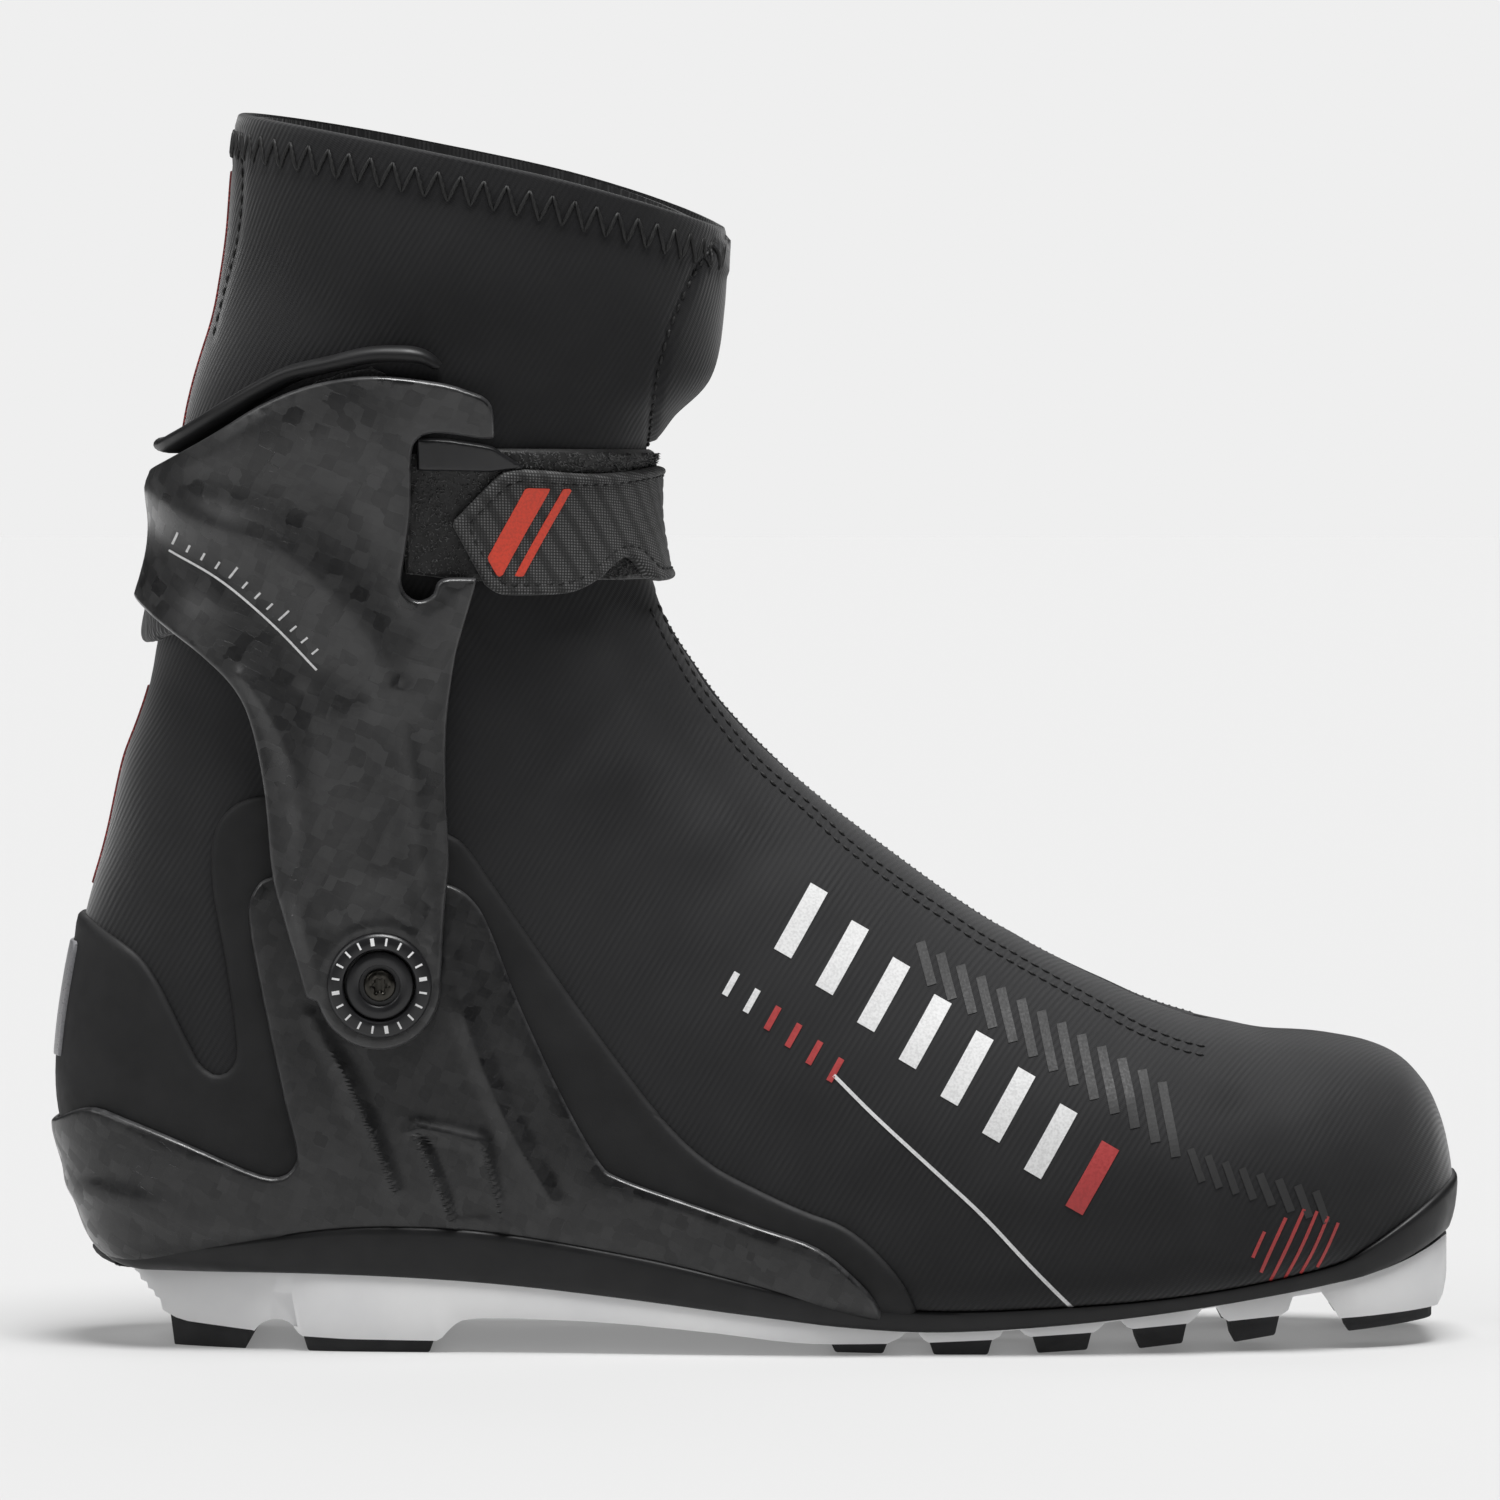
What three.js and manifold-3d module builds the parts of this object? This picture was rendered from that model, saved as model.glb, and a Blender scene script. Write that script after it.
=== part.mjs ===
// Cross country skate boot, right foot, about EU 42. Millimetres: +X to the toe, +Z up, lateral side -Y.
// One soft skin surface drives the boot: every shell is that surface moved in or out and cut to an outline.
import * as THREE from 'three';
import { mergeVertices } from 'three/addons/utils/BufferGeometryUtils.js';
import Module from 'manifold-3d';

const wasm = await Module();
wasm.setup();

// ---------------------------------------------------------------- driving dimensions
const GAP = 0.3; // air left between pieces that touch
const FAR = 400; // longer than the boot, for cutting prisms
const SKIN_STEPS = 24; // rings along the boot in a full shell
const RING_POINTS = 20; // points round one ring
const PIVOT = new THREE.Vector2(-77.9, 76.6); // ankle pivot in the side view

// Layers as [outer, inner] distances from the skin, outward positive.
const LAYER = {
  upper: [0, -1.4],
  stiffener: [-1.8, -2.8],
  lining: [-3.2, -4.6],
  tongue: [-5, -8],
  overlay: [1.2, 0.3],
  chassis: [3.3, 1.5],
  foam: [4.5, 0.3],
  lip: [4.5, 0.3],
  cuff: [6.8, 4.8],
  tape: [0.9, 0.3],
  loopStrap: [2.2, 0.3],
  hookPatch: [3, 2.5],
  hookStrap: [4.9, 3.3],
};

// Where the root half of the boot ends and the flexing half begins, as radii about the pivot.
const SPLIT = {
  frontRoot: 97.4,
  frontCuff: 98,
  sideRoot: 70, // lower beside the leg, where the cuff's rear edges swing past
  rearRoot: 83,
  rearCuff: 84,
  sideFrom: 74, // degrees from +X, where the root drops to its side edge
  sideTo: 117, // and where it rises to its rear edge
  cuffStep: 96, // where the cuff half drops to its rear edge
};

// Sections of the skin from the toe tip to the collar rim. Each lies in the plane of its top point,
// its bottom point and Y: top x, z, bottom x, z, half width, centre y, widest place from the top,
// roundness of the top half, squareness of the bottom half.
const SECTIONS = [
  [147.3, 31.5, 147.3, 30, 0.6, 8.5, 0.5, 2.2, 2.2],
  [146.5, 40.5, 146.8, 26.5, 12, 8.5, 0.5, 2.2, 2.2],
  [144.4, 48, 145, 23.4, 20, 8.5, 0.52, 2.2, 2.4],
  [140.8, 54.4, 141, 20.8, 27, 8, 0.56, 2.2, 2.8],
  [134, 60.3, 133, 18, 33.5, 7, 0.6, 2.2, 3.6],
  [121, 63.7, 118, 14.4, 40, 5, 0.63, 2.2, 4.6],
  [102, 66.2, 94, 10.4, 44.6, 2.8, 0.65, 2.2, 5.4],
  [78, 73.5, 66, 7.6, 47, 0.6, 0.67, 2.1, 6],
  [50, 87.8, 30, 6.6, 45.4, -2, 0.68, 2, 6],
  [25, 105.3, -8, 11.4, 40.4, -2.8, 0.68, 2, 6],
  [8, 118.8, -50, 19, 36.8, -1.8, 0.66, 2, 5.5],
  [-6, 132.8, -92, 20.4, 36.6, 0, 0.61, 2.1, 5],
  [-14, 143.8, -123, 18.6, 36, 0, 0.56, 2.2, 3.8],
  [-16.8, 148, -135.6, 21, 35.6, 0, 0.54, 2.2, 3.3],
  [-19, 152, -141.4, 33, 35.4, 0, 0.52, 2.2, 2.9],
  [-22, 160, -146.4, 52, 35.2, 0, 0.5, 2.2, 2.5],
  [-23.6, 167, -144, 78, 35.2, 0, 0.5, 2.2, 2.4],
  [-24.6, 176, -136.4, 108, 35.4, 0, 0.5, 2.2, 2.3],
  [-23.6, 186, -127.2, 143, 36, 0, 0.5, 2.2, 2.3],
  [-18, 194.4, -122, 170, 37, 0, 0.5, 2.2, 2.3],
  [-10, 203, -120, 195, 38.4, 0, 0.5, 2.3, 2.3],
  [-7.4, 217, -113.6, 219, 40, 0, 0.5, 2.3, 2.3],
  [-6.4, 233, -109, 256.5, 41, 0, 0.5, 2.3, 2.3],
];

// ---------------------------------------------------------------- materials
function paint(color, roughness, metalness = 0) {
  return new THREE.MeshStandardMaterial({ color, roughness, metalness });
}

const softshell = paint(0x1d1d1f, 0.85);
const knit = paint(0x2a2a2c, 0.95);
const carbon = paint(0x2b2c2e, 0.45);
const blackTpu = paint(0x1b1b1d, 0.6);
const whiteTpu = paint(0xeeeeee, 0.45);
const rubber = paint(0x202022, 0.9);
const blackPlastic = paint(0x18181a, 0.4);
const pile = paint(0x101011, 1);
const webbing = paint(0x3c3c3e, 0.8);
const redTape = paint(0xa02a28, 0.7);
const reflective = paint(0x8a8c8f, 0.4);
const board = paint(0x6f6558, 0.9);
const steel = paint(0x8c8a85, 0.35, 1);

// ---------------------------------------------------------------- solids
const boot = new THREE.Group();

function addMesh(name, solid, material) {
  const data = solid.getMesh();
  const geometry = new THREE.BufferGeometry();
  geometry.setAttribute('position', new THREE.BufferAttribute(data.vertProperties, 3));
  geometry.setIndex(new THREE.BufferAttribute(data.triVerts, 1));
  geometry.computeVertexNormals();
  const mesh = new THREE.Mesh(geometry, material);
  mesh.name = name;
  boot.add(mesh);
}

function toSolid(geometry) {
  const bare = geometry.clone();
  bare.deleteAttribute('normal');
  bare.deleteAttribute('uv');
  const merged = mergeVertices(bare, 1e-4);
  return new wasm.Manifold(new wasm.Mesh({
    numProp: 3,
    vertProperties: merged.attributes.position.array,
    triVerts: Uint32Array.from(merged.index.array),
  }));
}

// Surface through rings with equal point counts. A closed loft joins its last ring to its first.
// From ring number turn on, the quads split along their other diagonal, so that both faces match.
function loft(rings, closed, turn = Infinity) {
  const count = rings[0].length;
  const points = rings.flat();
  const triangles = [];
  const pairs = closed ? rings.length : rings.length - 1;
  for (let i = 0; i < pairs; i += 1) {
    const next = (i + 1) % rings.length;
    for (let j = 0; j < count; j += 1) {
      const side = (j + 1) % count;
      const [a, b] = [i * count + j, i * count + side];
      const [c, d] = [next * count + j, next * count + side];
      if (i < turn) {
        triangles.push(a, d, b, a, c, d);
      } else {
        triangles.push(a, c, b, b, c, d);
      }
    }
  }
  if (!closed) {
    capRing(points, triangles, 0, count, false);
    capRing(points, triangles, (rings.length - 1) * count, count, true);
  }
  const geometry = new THREE.BufferGeometry().setFromPoints(points);
  geometry.setIndex(triangles);
  return toSolid(geometry);
}

function capRing(points, triangles, start, count, last) {
  const middle = new THREE.Vector3();
  for (let j = 0; j < count; j += 1) {
    middle.addScaledVector(points[start + j], 1 / count);
  }
  points.push(middle);
  for (let j = 0; j < count; j += 1) {
    const [a, b] = [start + j, start + ((j + 1) % count)];
    triangles.push(points.length - 1, last ? b : a, last ? a : b);
  }
}

// Prism along Y of a side-view outline, from y = from to y = to.
function sidePrism(outline, from = -FAR / 2, to = FAR / 2) {
  const options = { depth: to - from, bevelEnabled: false };
  const geometry = new THREE.ExtrudeGeometry(new THREE.Shape(outline), options);
  geometry.rotateX(Math.PI / 2);
  geometry.translate(0, to, 0);
  return toSolid(geometry);
}

// Prism along Z of a plan outline.
function planPrism(outline, from, to) {
  const options = { depth: to - from, bevelEnabled: false };
  const geometry = new THREE.ExtrudeGeometry(new THREE.Shape(outline), options);
  geometry.translate(0, 0, from);
  return toSolid(geometry);
}

function block(low, high) {
  const size = new THREE.Vector3().subVectors(high, low);
  const geometry = new THREE.BoxGeometry(size.x, size.y, size.z);
  geometry.translate((low.x + high.x) / 2, (low.y + high.y) / 2, (low.z + high.z) / 2);
  return toSolid(geometry);
}

// Round solid about the Y axis through a side-view point. The profile holds [radius, y] pairs.
function turned(profile, centre, side) {
  const points = profile.map(([radius, y]) => new THREE.Vector2(radius, y));
  const geometry = new THREE.LatheGeometry(points, 18);
  if (side < 0) {
    geometry.rotateX(Math.PI);
  }
  geometry.translate(centre.x, 0, centre.y);
  return toSolid(geometry);
}

function points2(pairs) {
  return pairs.map(([x, z]) => new THREE.Vector2(x, z));
}

function smooth(pairs, steps) {
  return new THREE.SplineCurve(points2(pairs)).getPoints(steps);
}

function arc(centre, radius, from, to, steps) {
  const points = [];
  for (let i = 0; i <= steps; i += 1) {
    const angle = THREE.MathUtils.degToRad(from + ((to - from) * i) / steps);
    points.push(new THREE.Vector2(
      centre.x + radius * Math.cos(angle),
      centre.y + radius * Math.sin(angle),
    ));
  }
  return points;
}

// ---------------------------------------------------------------- the skin surface
function sectionCurve(...columns) {
  const points = SECTIONS.map((row) => new THREE.Vector3(...columns.map((c) => row[c])));
  return new THREE.CatmullRomCurve3(points, false, 'catmullrom', 0.5);
}

const topLine = sectionCurve(0, 1, 4); // x, z, half width
const bottomLine = sectionCurve(2, 3, 5); // x, z, centre y
const formLine = sectionCurve(6, 7, 8); // widest place, top power, bottom power

// Point of the skin: u runs from toe tip to collar rim, angle from the top line round the lateral side.
function skinPoint(u, angle) {
  const top = topLine.getPoint(u);
  const bottom = bottomLine.getPoint(u);
  const form = formLine.getPoint(u);
  const rise = Math.cos(angle);
  const side = Math.sin(angle);
  const power = rise > 0 ? form.y : form.z;
  const reach = (Math.abs(rise) ** power + Math.abs(side) ** power) ** (-1 / power);
  const share = rise > 0 ? form.x * (1 - reach * rise) : form.x - (1 - form.x) * reach * rise;
  return new THREE.Vector3(
    top.x + (bottom.x - top.x) * share,
    bottom.z - top.z * reach * side,
    top.y + (bottom.y - top.y) * share,
  );
}

function skinNormal(u, angle) {
  const step = 1e-4;
  const ahead = skinPoint(Math.min(u + step, 1), angle);
  const along = ahead.sub(skinPoint(Math.max(u - step, 0), angle));
  const round = skinPoint(u, angle + step).sub(skinPoint(u, angle - step));
  return along.cross(round).normalize();
}

function ring(u, distance) {
  const points = [];
  for (let j = 0; j < RING_POINTS; j += 1) {
    const angle = (2 * Math.PI * (j + 0.5)) / RING_POINTS;
    points.push(skinPoint(u, angle).addScaledVector(skinNormal(u, angle), distance));
  }
  return points;
}

function rings(distance, from, to, steps) {
  const list = [];
  for (let i = 0; i <= steps; i += 1) {
    list.push(ring(from + ((to - from) * i) / steps, distance));
  }
  return list;
}

// Shell between two distances from the skin. From u = 0 the toe end is closed.
function shell([outer, inner], from = 0, to = 1) {
  const steps = Math.max(6, Math.round(SKIN_STEPS * (to - from)));
  const both = [...rings(outer, from, to, steps), ...rings(inner, to, from, steps)];
  return loft(both, from > 0, steps + 1);
}

// Solid filling of the skin, closed at the collar rim.
function filled(distance) {
  return loft(rings(distance, 0, 1, SKIN_STEPS), false);
}

// The skin's section line through a side-view point, found by halving.
function sectionThrough(x, z) {
  let [low, high] = [0, 1];
  for (let i = 0; i < 40; i += 1) {
    const u = (low + high) / 2;
    const top = topLine.getPoint(u);
    const bottom = bottomLine.getPoint(u);
    const side = (bottom.x - top.x) * (z - top.y) - (bottom.y - top.y) * (x - top.x);
    if (side > 0) {
      high = u;
    } else {
      low = u;
    }
  }
  return low;
}

// Half width of the skin at a side-view point inside its silhouette.
function halfWidthAt(x, z) {
  const u = sectionThrough(x, z);
  const top = topLine.getPoint(u);
  const bottom = bottomLine.getPoint(u);
  const form = formLine.getPoint(u);
  const length = Math.hypot(bottom.x - top.x, bottom.y - top.y);
  const share = Math.hypot(x - top.x, z - top.y) / length;
  const upper = share < form.x;
  const rise = upper ? 1 - share / form.x : (share - form.x) / (1 - form.x);
  const power = upper ? form.y : form.z;
  return top.z * Math.max(0, 1 - rise ** power) ** (1 / power);
}

// ---------------------------------------------------------------- the sole
const randTop = new THREE.SplineCurve(points2([
  [-142, 20.6], [-120, 21], [-90, 25.6], [-70, 26.2], [-50, 24.6], [-20, 19.4], [10, 12.4],
  [33, 9.3], [60, 9.8], [90, 12], [118, 17], [136, 28], [152, 41],
]));
const randBottom = new THREE.SplineCurve(points2([
  [-142, 14.8], [-120, 15.8], [-90, 16.3], [-60, 15], [-30, 12], [0, 8.2], [20, 5.7],
  [40, 4.8], [70, 6.7], [100, 10.3], [130, 16], [152, 25.5],
]));
const RAND_STEPS = 26;
const RAND_PROUD = 1.2; // how far the rand stands out of the fabric
const HEEL_PROUD = 4.4; // and out of the skin where it meets the chassis
const HEEL_END = -135.6; // skin ends of the feather line
const TOE_END = 147.2;

function curveHeight(curve, x) {
  let [low, high] = [0, 1];
  for (let i = 0; i < 30; i += 1) {
    const middle = (low + high) / 2;
    if (curve.getPoint(middle).x < x) {
      low = middle;
    } else {
      high = middle;
    }
  }
  return curve.getPoint(low).y;
}

// Plan outline of the sole: the skin's width along the rand's top edge, moved out by extra.
function soleOutline(extra) {
  const steps = 22;
  const [lateral, medial] = [[], []];
  for (let i = 0; i <= steps; i += 1) {
    const turn = (Math.PI * i) / steps;
    const x = THREE.MathUtils.lerp(HEEL_END, TOE_END, (1 - Math.cos(turn)) / 2);
    const z = curveHeight(randTop, x);
    const half = i === 0 || i === steps ? 0 : halfWidthAt(x, z);
    const centre = bottomLine.getPoint(sectionThrough(x, z)).z;
    lateral.push(new THREE.Vector2(x, centre - half));
    medial.push(new THREE.Vector2(x, centre + half));
  }
  const loop = [...lateral, ...medial.reverse().slice(1, -1)];
  return loop.map((point, i) => {
    const before = loop[(i + loop.length - 1) % loop.length];
    const after = loop[(i + 1) % loop.length];
    const out = new THREE.Vector2(after.y - before.y, before.x - after.x).normalize();
    const heel = 1 - THREE.MathUtils.smoothstep(point.x, 0, 36);
    return point.clone().addScaledVector(out, THREE.MathUtils.lerp(RAND_PROUD, HEEL_PROUD, heel) + extra);
  });
}

const OUTSOLE_INSET = 2.4; // white sole inside the rand's outline
const TREAD_INSET = 4.2; // rubber inside the rand's outline
const BAND_LOW = -10; // below the floor, for cutting
const BAND_HIGH = 60;
const GROOVE = { from: 4, to: 116, half: 3.6, centres: [-8, 12], top: 6 };
const TOE_NOTCH = { from: 125.5, to: 138.5, low: -6, high: 20, top: 15 };

const grooves = GROOVE.centres.map((y) => block(
  new THREE.Vector3(GROOVE.from, y - GROOVE.half, BAND_LOW),
  new THREE.Vector3(GROOVE.to, y + GROOVE.half, GROOVE.top),
));
const toeNotch = block(
  new THREE.Vector3(TOE_NOTCH.from, TOE_NOTCH.low, BAND_LOW),
  new THREE.Vector3(TOE_NOTCH.to, TOE_NOTCH.high, TOE_NOTCH.top),
);

function makeRand() {
  const outline = [...randBottom.getPoints(RAND_STEPS), ...randTop.getPoints(RAND_STEPS).reverse()];
  let rand = planPrism(soleOutline(0), BAND_LOW, BAND_HIGH).intersect(sidePrism(outline));
  rand = rand.subtract(filled(GAP));
  for (const groove of grooves) {
    rand = rand.subtract(groove);
  }
  addMesh('sole_rand', rand, blackTpu);
}

// Bottom of the white sole in the side view, heel to toe.
const outsoleBottom = points2([
  [-131.5, 14.5], [-127.5, 12], [-124.4, 7], [-119, 5.2], [-104.5, 3.8], [-103, 5.8], [-97, 6],
  [-95.5, 4], [-95, 2.9], [-66, 2.5], [-64, 4.6], [-59, 7.3], [-40, 7], [-20, 5.4], [0, 3.6],
  [12, 2.5], [29, 2.5], [31, 3.4], [33, 3.4], [34.5, 3], [50, 3.4], [51.5, 4.2], [54, 4.4],
  [56, 4], [70.5, 4.8], [72, 5.8], [75, 6.2], [77, 5.4], [90.5, 6.4], [92, 7.8], [95, 8.2],
  [97, 6.6], [110.5, 7.6], [112, 10], [117.5, 10.6], [121.5, 6.4], [143, 7.8], [146.3, 15],
  [147.3, 22],
]);

function makeOutsole() {
  const top = randBottom.getPoints(RAND_STEPS).reverse();
  const lowered = top.map((point) => new THREE.Vector2(point.x, point.y - GAP));
  const within = lowered.filter((point) => point.x > -131 && point.x < 147);
  let outsole = planPrism(soleOutline(-OUTSOLE_INSET), BAND_LOW, BAND_HIGH);
  outsole = outsole.intersect(sidePrism([...outsoleBottom, ...within]));
  for (const cut of [...grooves, toeNotch]) {
    outsole = outsole.subtract(cut);
  }
  addMesh('outsole', outsole, whiteTpu);
}

// Rubber treads: x range and heights [back bottom, front bottom, back top, front top].
const TREADS = [
  { name: 'heel_tread_rear', x: [-122.5, -105.2], z: [0, 0, 5, 3.5], split: false },
  { name: 'heel_tread_front', x: [-94.6, -66.6], z: [0, 0, 2.6, 2.2], split: false },
  { name: 'tread_1', x: [15, 27.5], z: [0.6, 0.3, 2.2, 2.2], split: true },
  { name: 'tread_2', x: [35.2, 49.2], z: [0, 0, 2.7, 3.1], split: true },
  { name: 'tread_3', x: [56.8, 69.8], z: [0.3, 0.9, 3.7, 4.4], split: true },
  { name: 'tread_4', x: [77.8, 89.8], z: [1, 1.9, 5.1, 6], split: true },
  { name: 'tread_5', x: [97.8, 109.6], z: [1.9, 3.2, 6.3, 7.2], split: true },
  { name: 'toe_tread', x: [122.4, 142.2], z: [3.6, 5.4, 6.1, 7.4], split: true },
];
const TREAD_TAPER = 0.8; // each end slopes in towards the floor
const TREAD_GUTTER = { lateral: -12.4, medial: 20.6 }; // inner ends beside the binding grooves

function makeTreads() {
  const inside = planPrism(soleOutline(-TREAD_INSET), BAND_LOW, BAND_HIGH);
  for (const { name, x, z, split } of TREADS) {
    const outline = points2([
      [x[0] + TREAD_TAPER, z[0]], [x[1] - TREAD_TAPER, z[1]], [x[1], z[3]], [x[0], z[2]],
    ]);
    if (split) {
      const lateral = sidePrism(outline, -FAR / 2, TREAD_GUTTER.lateral).intersect(inside);
      const medial = sidePrism(outline, TREAD_GUTTER.medial, FAR / 2).intersect(inside);
      addMesh(`${name}_lateral`, lateral, rubber);
      addMesh(`${name}_medial`, medial, rubber);
    } else {
      addMesh(name, sidePrism(outline).intersect(inside), rubber);
    }
  }
}

function makeToeBar() {
  const radius = 2;
  const length = TOE_NOTCH.high - TOE_NOTCH.low - 2 * GAP;
  const geometry = new THREE.CylinderGeometry(radius, radius, length, 16);
  geometry.translate(132, (TOE_NOTCH.high + TOE_NOTCH.low) / 2, 10.4);
  addMesh('toe_bar', toSolid(geometry), steel);
}

// ---------------------------------------------------------------- the upper
// Region of the side view that stays with the sole when the ankle flexes.
const rootRegion = sidePrism([
  new THREE.Vector2(170, -20),
  new THREE.Vector2(170, 160),
  ...arc(PIVOT, SPLIT.frontRoot, 30, SPLIT.sideFrom, 10),
  ...arc(PIVOT, SPLIT.sideRoot, SPLIT.sideFrom, SPLIT.sideTo, 6),
  ...arc(PIVOT, SPLIT.rearRoot, SPLIT.sideTo, 180, 8),
  new THREE.Vector2(-170, 40),
  new THREE.Vector2(-170, -20),
]);

// Region that goes with the cuff.
const cuffRegion = sidePrism([
  ...arc(PIVOT, SPLIT.frontCuff, 48, SPLIT.cuffStep, 8),
  ...arc(PIVOT, SPLIT.rearCuff, SPLIT.cuffStep, 165, 10),
  new THREE.Vector2(-170, 100),
  new THREE.Vector2(-170, 270),
  new THREE.Vector2(60, 270),
]);

const ZIP_HALF = 3.5; // half width of the zip
const CHANNEL_HALF = 5.6; // half width of the recess for the slider
const zipSlot = sidePrism(points2([[93.5, 60], [93.5, 90], [60, 130], [-5, 170], [-45, 170],
  [-45, 120], [0, 100], [60, 60]]), -ZIP_HALF - GAP, ZIP_HALF + GAP);
const collarSlot = sidePrism(points2([[20, 150], [20, 250], [-40, 250], [-40, 150]]),
  -ZIP_HALF - GAP, ZIP_HALF + GAP);
const sliderChannel = sidePrism(points2([[20, 190], [20, 250], [-30, 250], [-30, 190]]),
  -CHANNEL_HALF, CHANNEL_HALF);

function makeUpper() {
  addMesh('upper_shell', shell(LAYER.upper).intersect(rootRegion).subtract(zipSlot), softshell);
  addMesh('upper_lining', shell(LAYER.lining).intersect(rootRegion), knit);
  const stiffener = shell(LAYER.stiffener);
  const toeRegion = sidePrism(points2([[100, 0], [92, 80], [170, 80], [170, 0]]));
  addMesh('toe_box', stiffener.intersect(toeRegion), board);
  const heelRegion = sidePrism(smooth([[-170, 92], [-125, 84], [-104, 62], [-80, 44], [-60, 36],
    [-60, 0], [-170, 0]], 20));
  addMesh('heel_counter', stiffener.intersect(heelRegion), board);
}

// Slab inside the lining, between two heights above the skin's bottom line.
function innerSlab(low, high) {
  const steps = 18;
  const [lower, upper] = [[], []];
  for (let i = 0; i <= steps; i += 1) {
    const x = THREE.MathUtils.lerp(-150, 150, i / steps);
    const z = curveHeight(innerBottom, x);
    lower.push(new THREE.Vector2(x, z + low));
    upper.push(new THREE.Vector2(x, z + high));
  }
  const inside = filled(LAYER.lining[1] - GAP);
  return inside.intersect(sidePrism([...lower, ...upper.reverse()]));
}

const innerBottom = new THREE.SplineCurve(points2([
  [-152, 20.6], [-120, 20.6], [-92, 20.6], [-50, 19.2], [-8, 11.2], [30, 7], [66, 7.6],
  [94, 10.4], [118, 14.4], [152, 24],
]));

function makeInsole() {
  const lining = -LAYER.lining[1] + GAP;
  const boardThick = 1.6;
  const bedThick = 3.6;
  addMesh('lasting_board', innerSlab(lining, lining + boardThick), board);
  const bedLow = lining + boardThick + GAP;
  addMesh('footbed', innerSlab(bedLow, bedLow + bedThick), knit);
}

function makeTongue() {
  const region = sidePrism(smooth([[62, 90], [-4, 142], [-26, 150], [-34, 138], [-20, 118],
    [18, 88], [52, 66], [72, 66], [62, 90]], 28));
  const sides = block(new THREE.Vector3(-60, -24, 40), new THREE.Vector3(90, 24, 160));
  const tongue = shell(LAYER.tongue).intersect(region).intersect(sides).intersect(rootRegion);
  addMesh('tongue', tongue, softshell);
}

// Strip on the centre line: outer edge points, then the same line a zip's thickness behind.
function centreStrip(outer, thickness) {
  const line = smooth(outer, 16);
  const inner = line.map((point, i) => {
    const before = line[Math.max(i - 1, 0)];
    const after = line[Math.min(i + 1, line.length - 1)];
    const back = new THREE.Vector2(after.y - before.y, before.x - after.x).normalize();
    return point.clone().addScaledVector(back, thickness);
  });
  return sidePrism([...line, ...inner.reverse()], -ZIP_HALF, ZIP_HALF);
}

const ZIP_THICK = 1.1;
const ZIP_DEPTH = 0.1; // below the fabric's outer face

// Place along the skin where its top line passes a given x, in front of the ankle.
function topLinePlace(x) {
  let [low, high] = [0, 0.6];
  for (let i = 0; i < 30; i += 1) {
    const middle = (low + high) / 2;
    if (topLine.getPoint(middle).x > x) {
      low = middle;
    } else {
      high = middle;
    }
  }
  return low;
}

// Side-view points of the skin's top line, a little below the surface.
function topLinePairs(from, to, count, depth) {
  const pairs = [];
  for (let i = 0; i <= count; i += 1) {
    const u = THREE.MathUtils.lerp(from, to, i / count);
    const point = skinPoint(u, 0).addScaledVector(skinNormal(u, 0), -depth);
    pairs.push([point.x, point.z]);
  }
  return pairs;
}

function makeZip() {
  const line = topLinePairs(topLinePlace(-19), topLinePlace(92.5), 12, ZIP_DEPTH);
  addMesh('zip_lower', centreStrip(line, ZIP_THICK), blackPlastic);
  const recessed = [[-13.6, 231.5], [-15.6, 214], [-17.6, 197.5], [-20.8, 192]];
  const onSkin = [[-24.4, 185.6], [-25.3, 176], [-24.3, 167], [-23.2, 160.5]];
  addMesh('zip_upper', centreStrip([...recessed, ...onSkin], ZIP_THICK), blackPlastic);
}

// ---------------------------------------------------------------- heel overlay and carbon chassis
const aboveRand = sidePrism([
  ...randTop.getPoints(RAND_STEPS).map((point) => new THREE.Vector2(point.x, point.y + GAP)),
  new THREE.Vector2(160, 200),
  new THREE.Vector2(-160, 200),
]);

const overlayOutline = [
  ...smooth([[-160, 91], [-142, 90.5], [-129, 82.5], [-121, 70], [-115.5, 59.5], [-109.5, 58],
    [-108, 68], [-112.5, 97], [-110.5, 111], [-103, 115.5], [-80, 112], [-63, 107], [-54, 96],
    [-35, 69], [-20, 49.5], [0, 34.5], [20, 25.5], [30, 15], [35, 5]], 30),
  new THREE.Vector2(-160, 5),
];

const chassisOutline = [
  ...smooth([[-160, 44], [-148, 46.4], [-138, 50.3], [-124, 45.5], [-104, 37.5], [-96, 39],
    [-96.5, 48], [-101, 68], [-105, 90], [-101, 98.5], [-84, 101], [-64, 97], [-55, 87],
    [-45, 63.5], [-32.5, 40], [-10, 30], [10, 24], [22, 15], [28, 5]], 30),
  new THREE.Vector2(-160, 5),
];

const PIVOT_HOLE = { overlay: 7.6, chassis: 4.4, arm: 7.3 };

function pivotHole(radius) {
  return sidePrism(arc(PIVOT, radius, 0, 345, 23));
}

function makeHeel() {
  const overlay = shell(LAYER.overlay).intersect(sidePrism(overlayOutline)).intersect(aboveRand);
  addMesh('heel_overlay', overlay.subtract(pivotHole(PIVOT_HOLE.overlay)), blackTpu);
  const chassis = shell(LAYER.chassis).intersect(sidePrism(chassisOutline)).intersect(aboveRand);
  addMesh('heel_chassis', chassis.subtract(pivotHole(PIVOT_HOLE.chassis)), carbon);
  const strip = sidePrism(points2([[-160, 62], [-140, 62], [-137, 83], [-160, 83]]), -14, 14);
  addMesh('heel_reflector', shell([2.2, 1.5]).intersect(strip), reflective);
}

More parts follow.
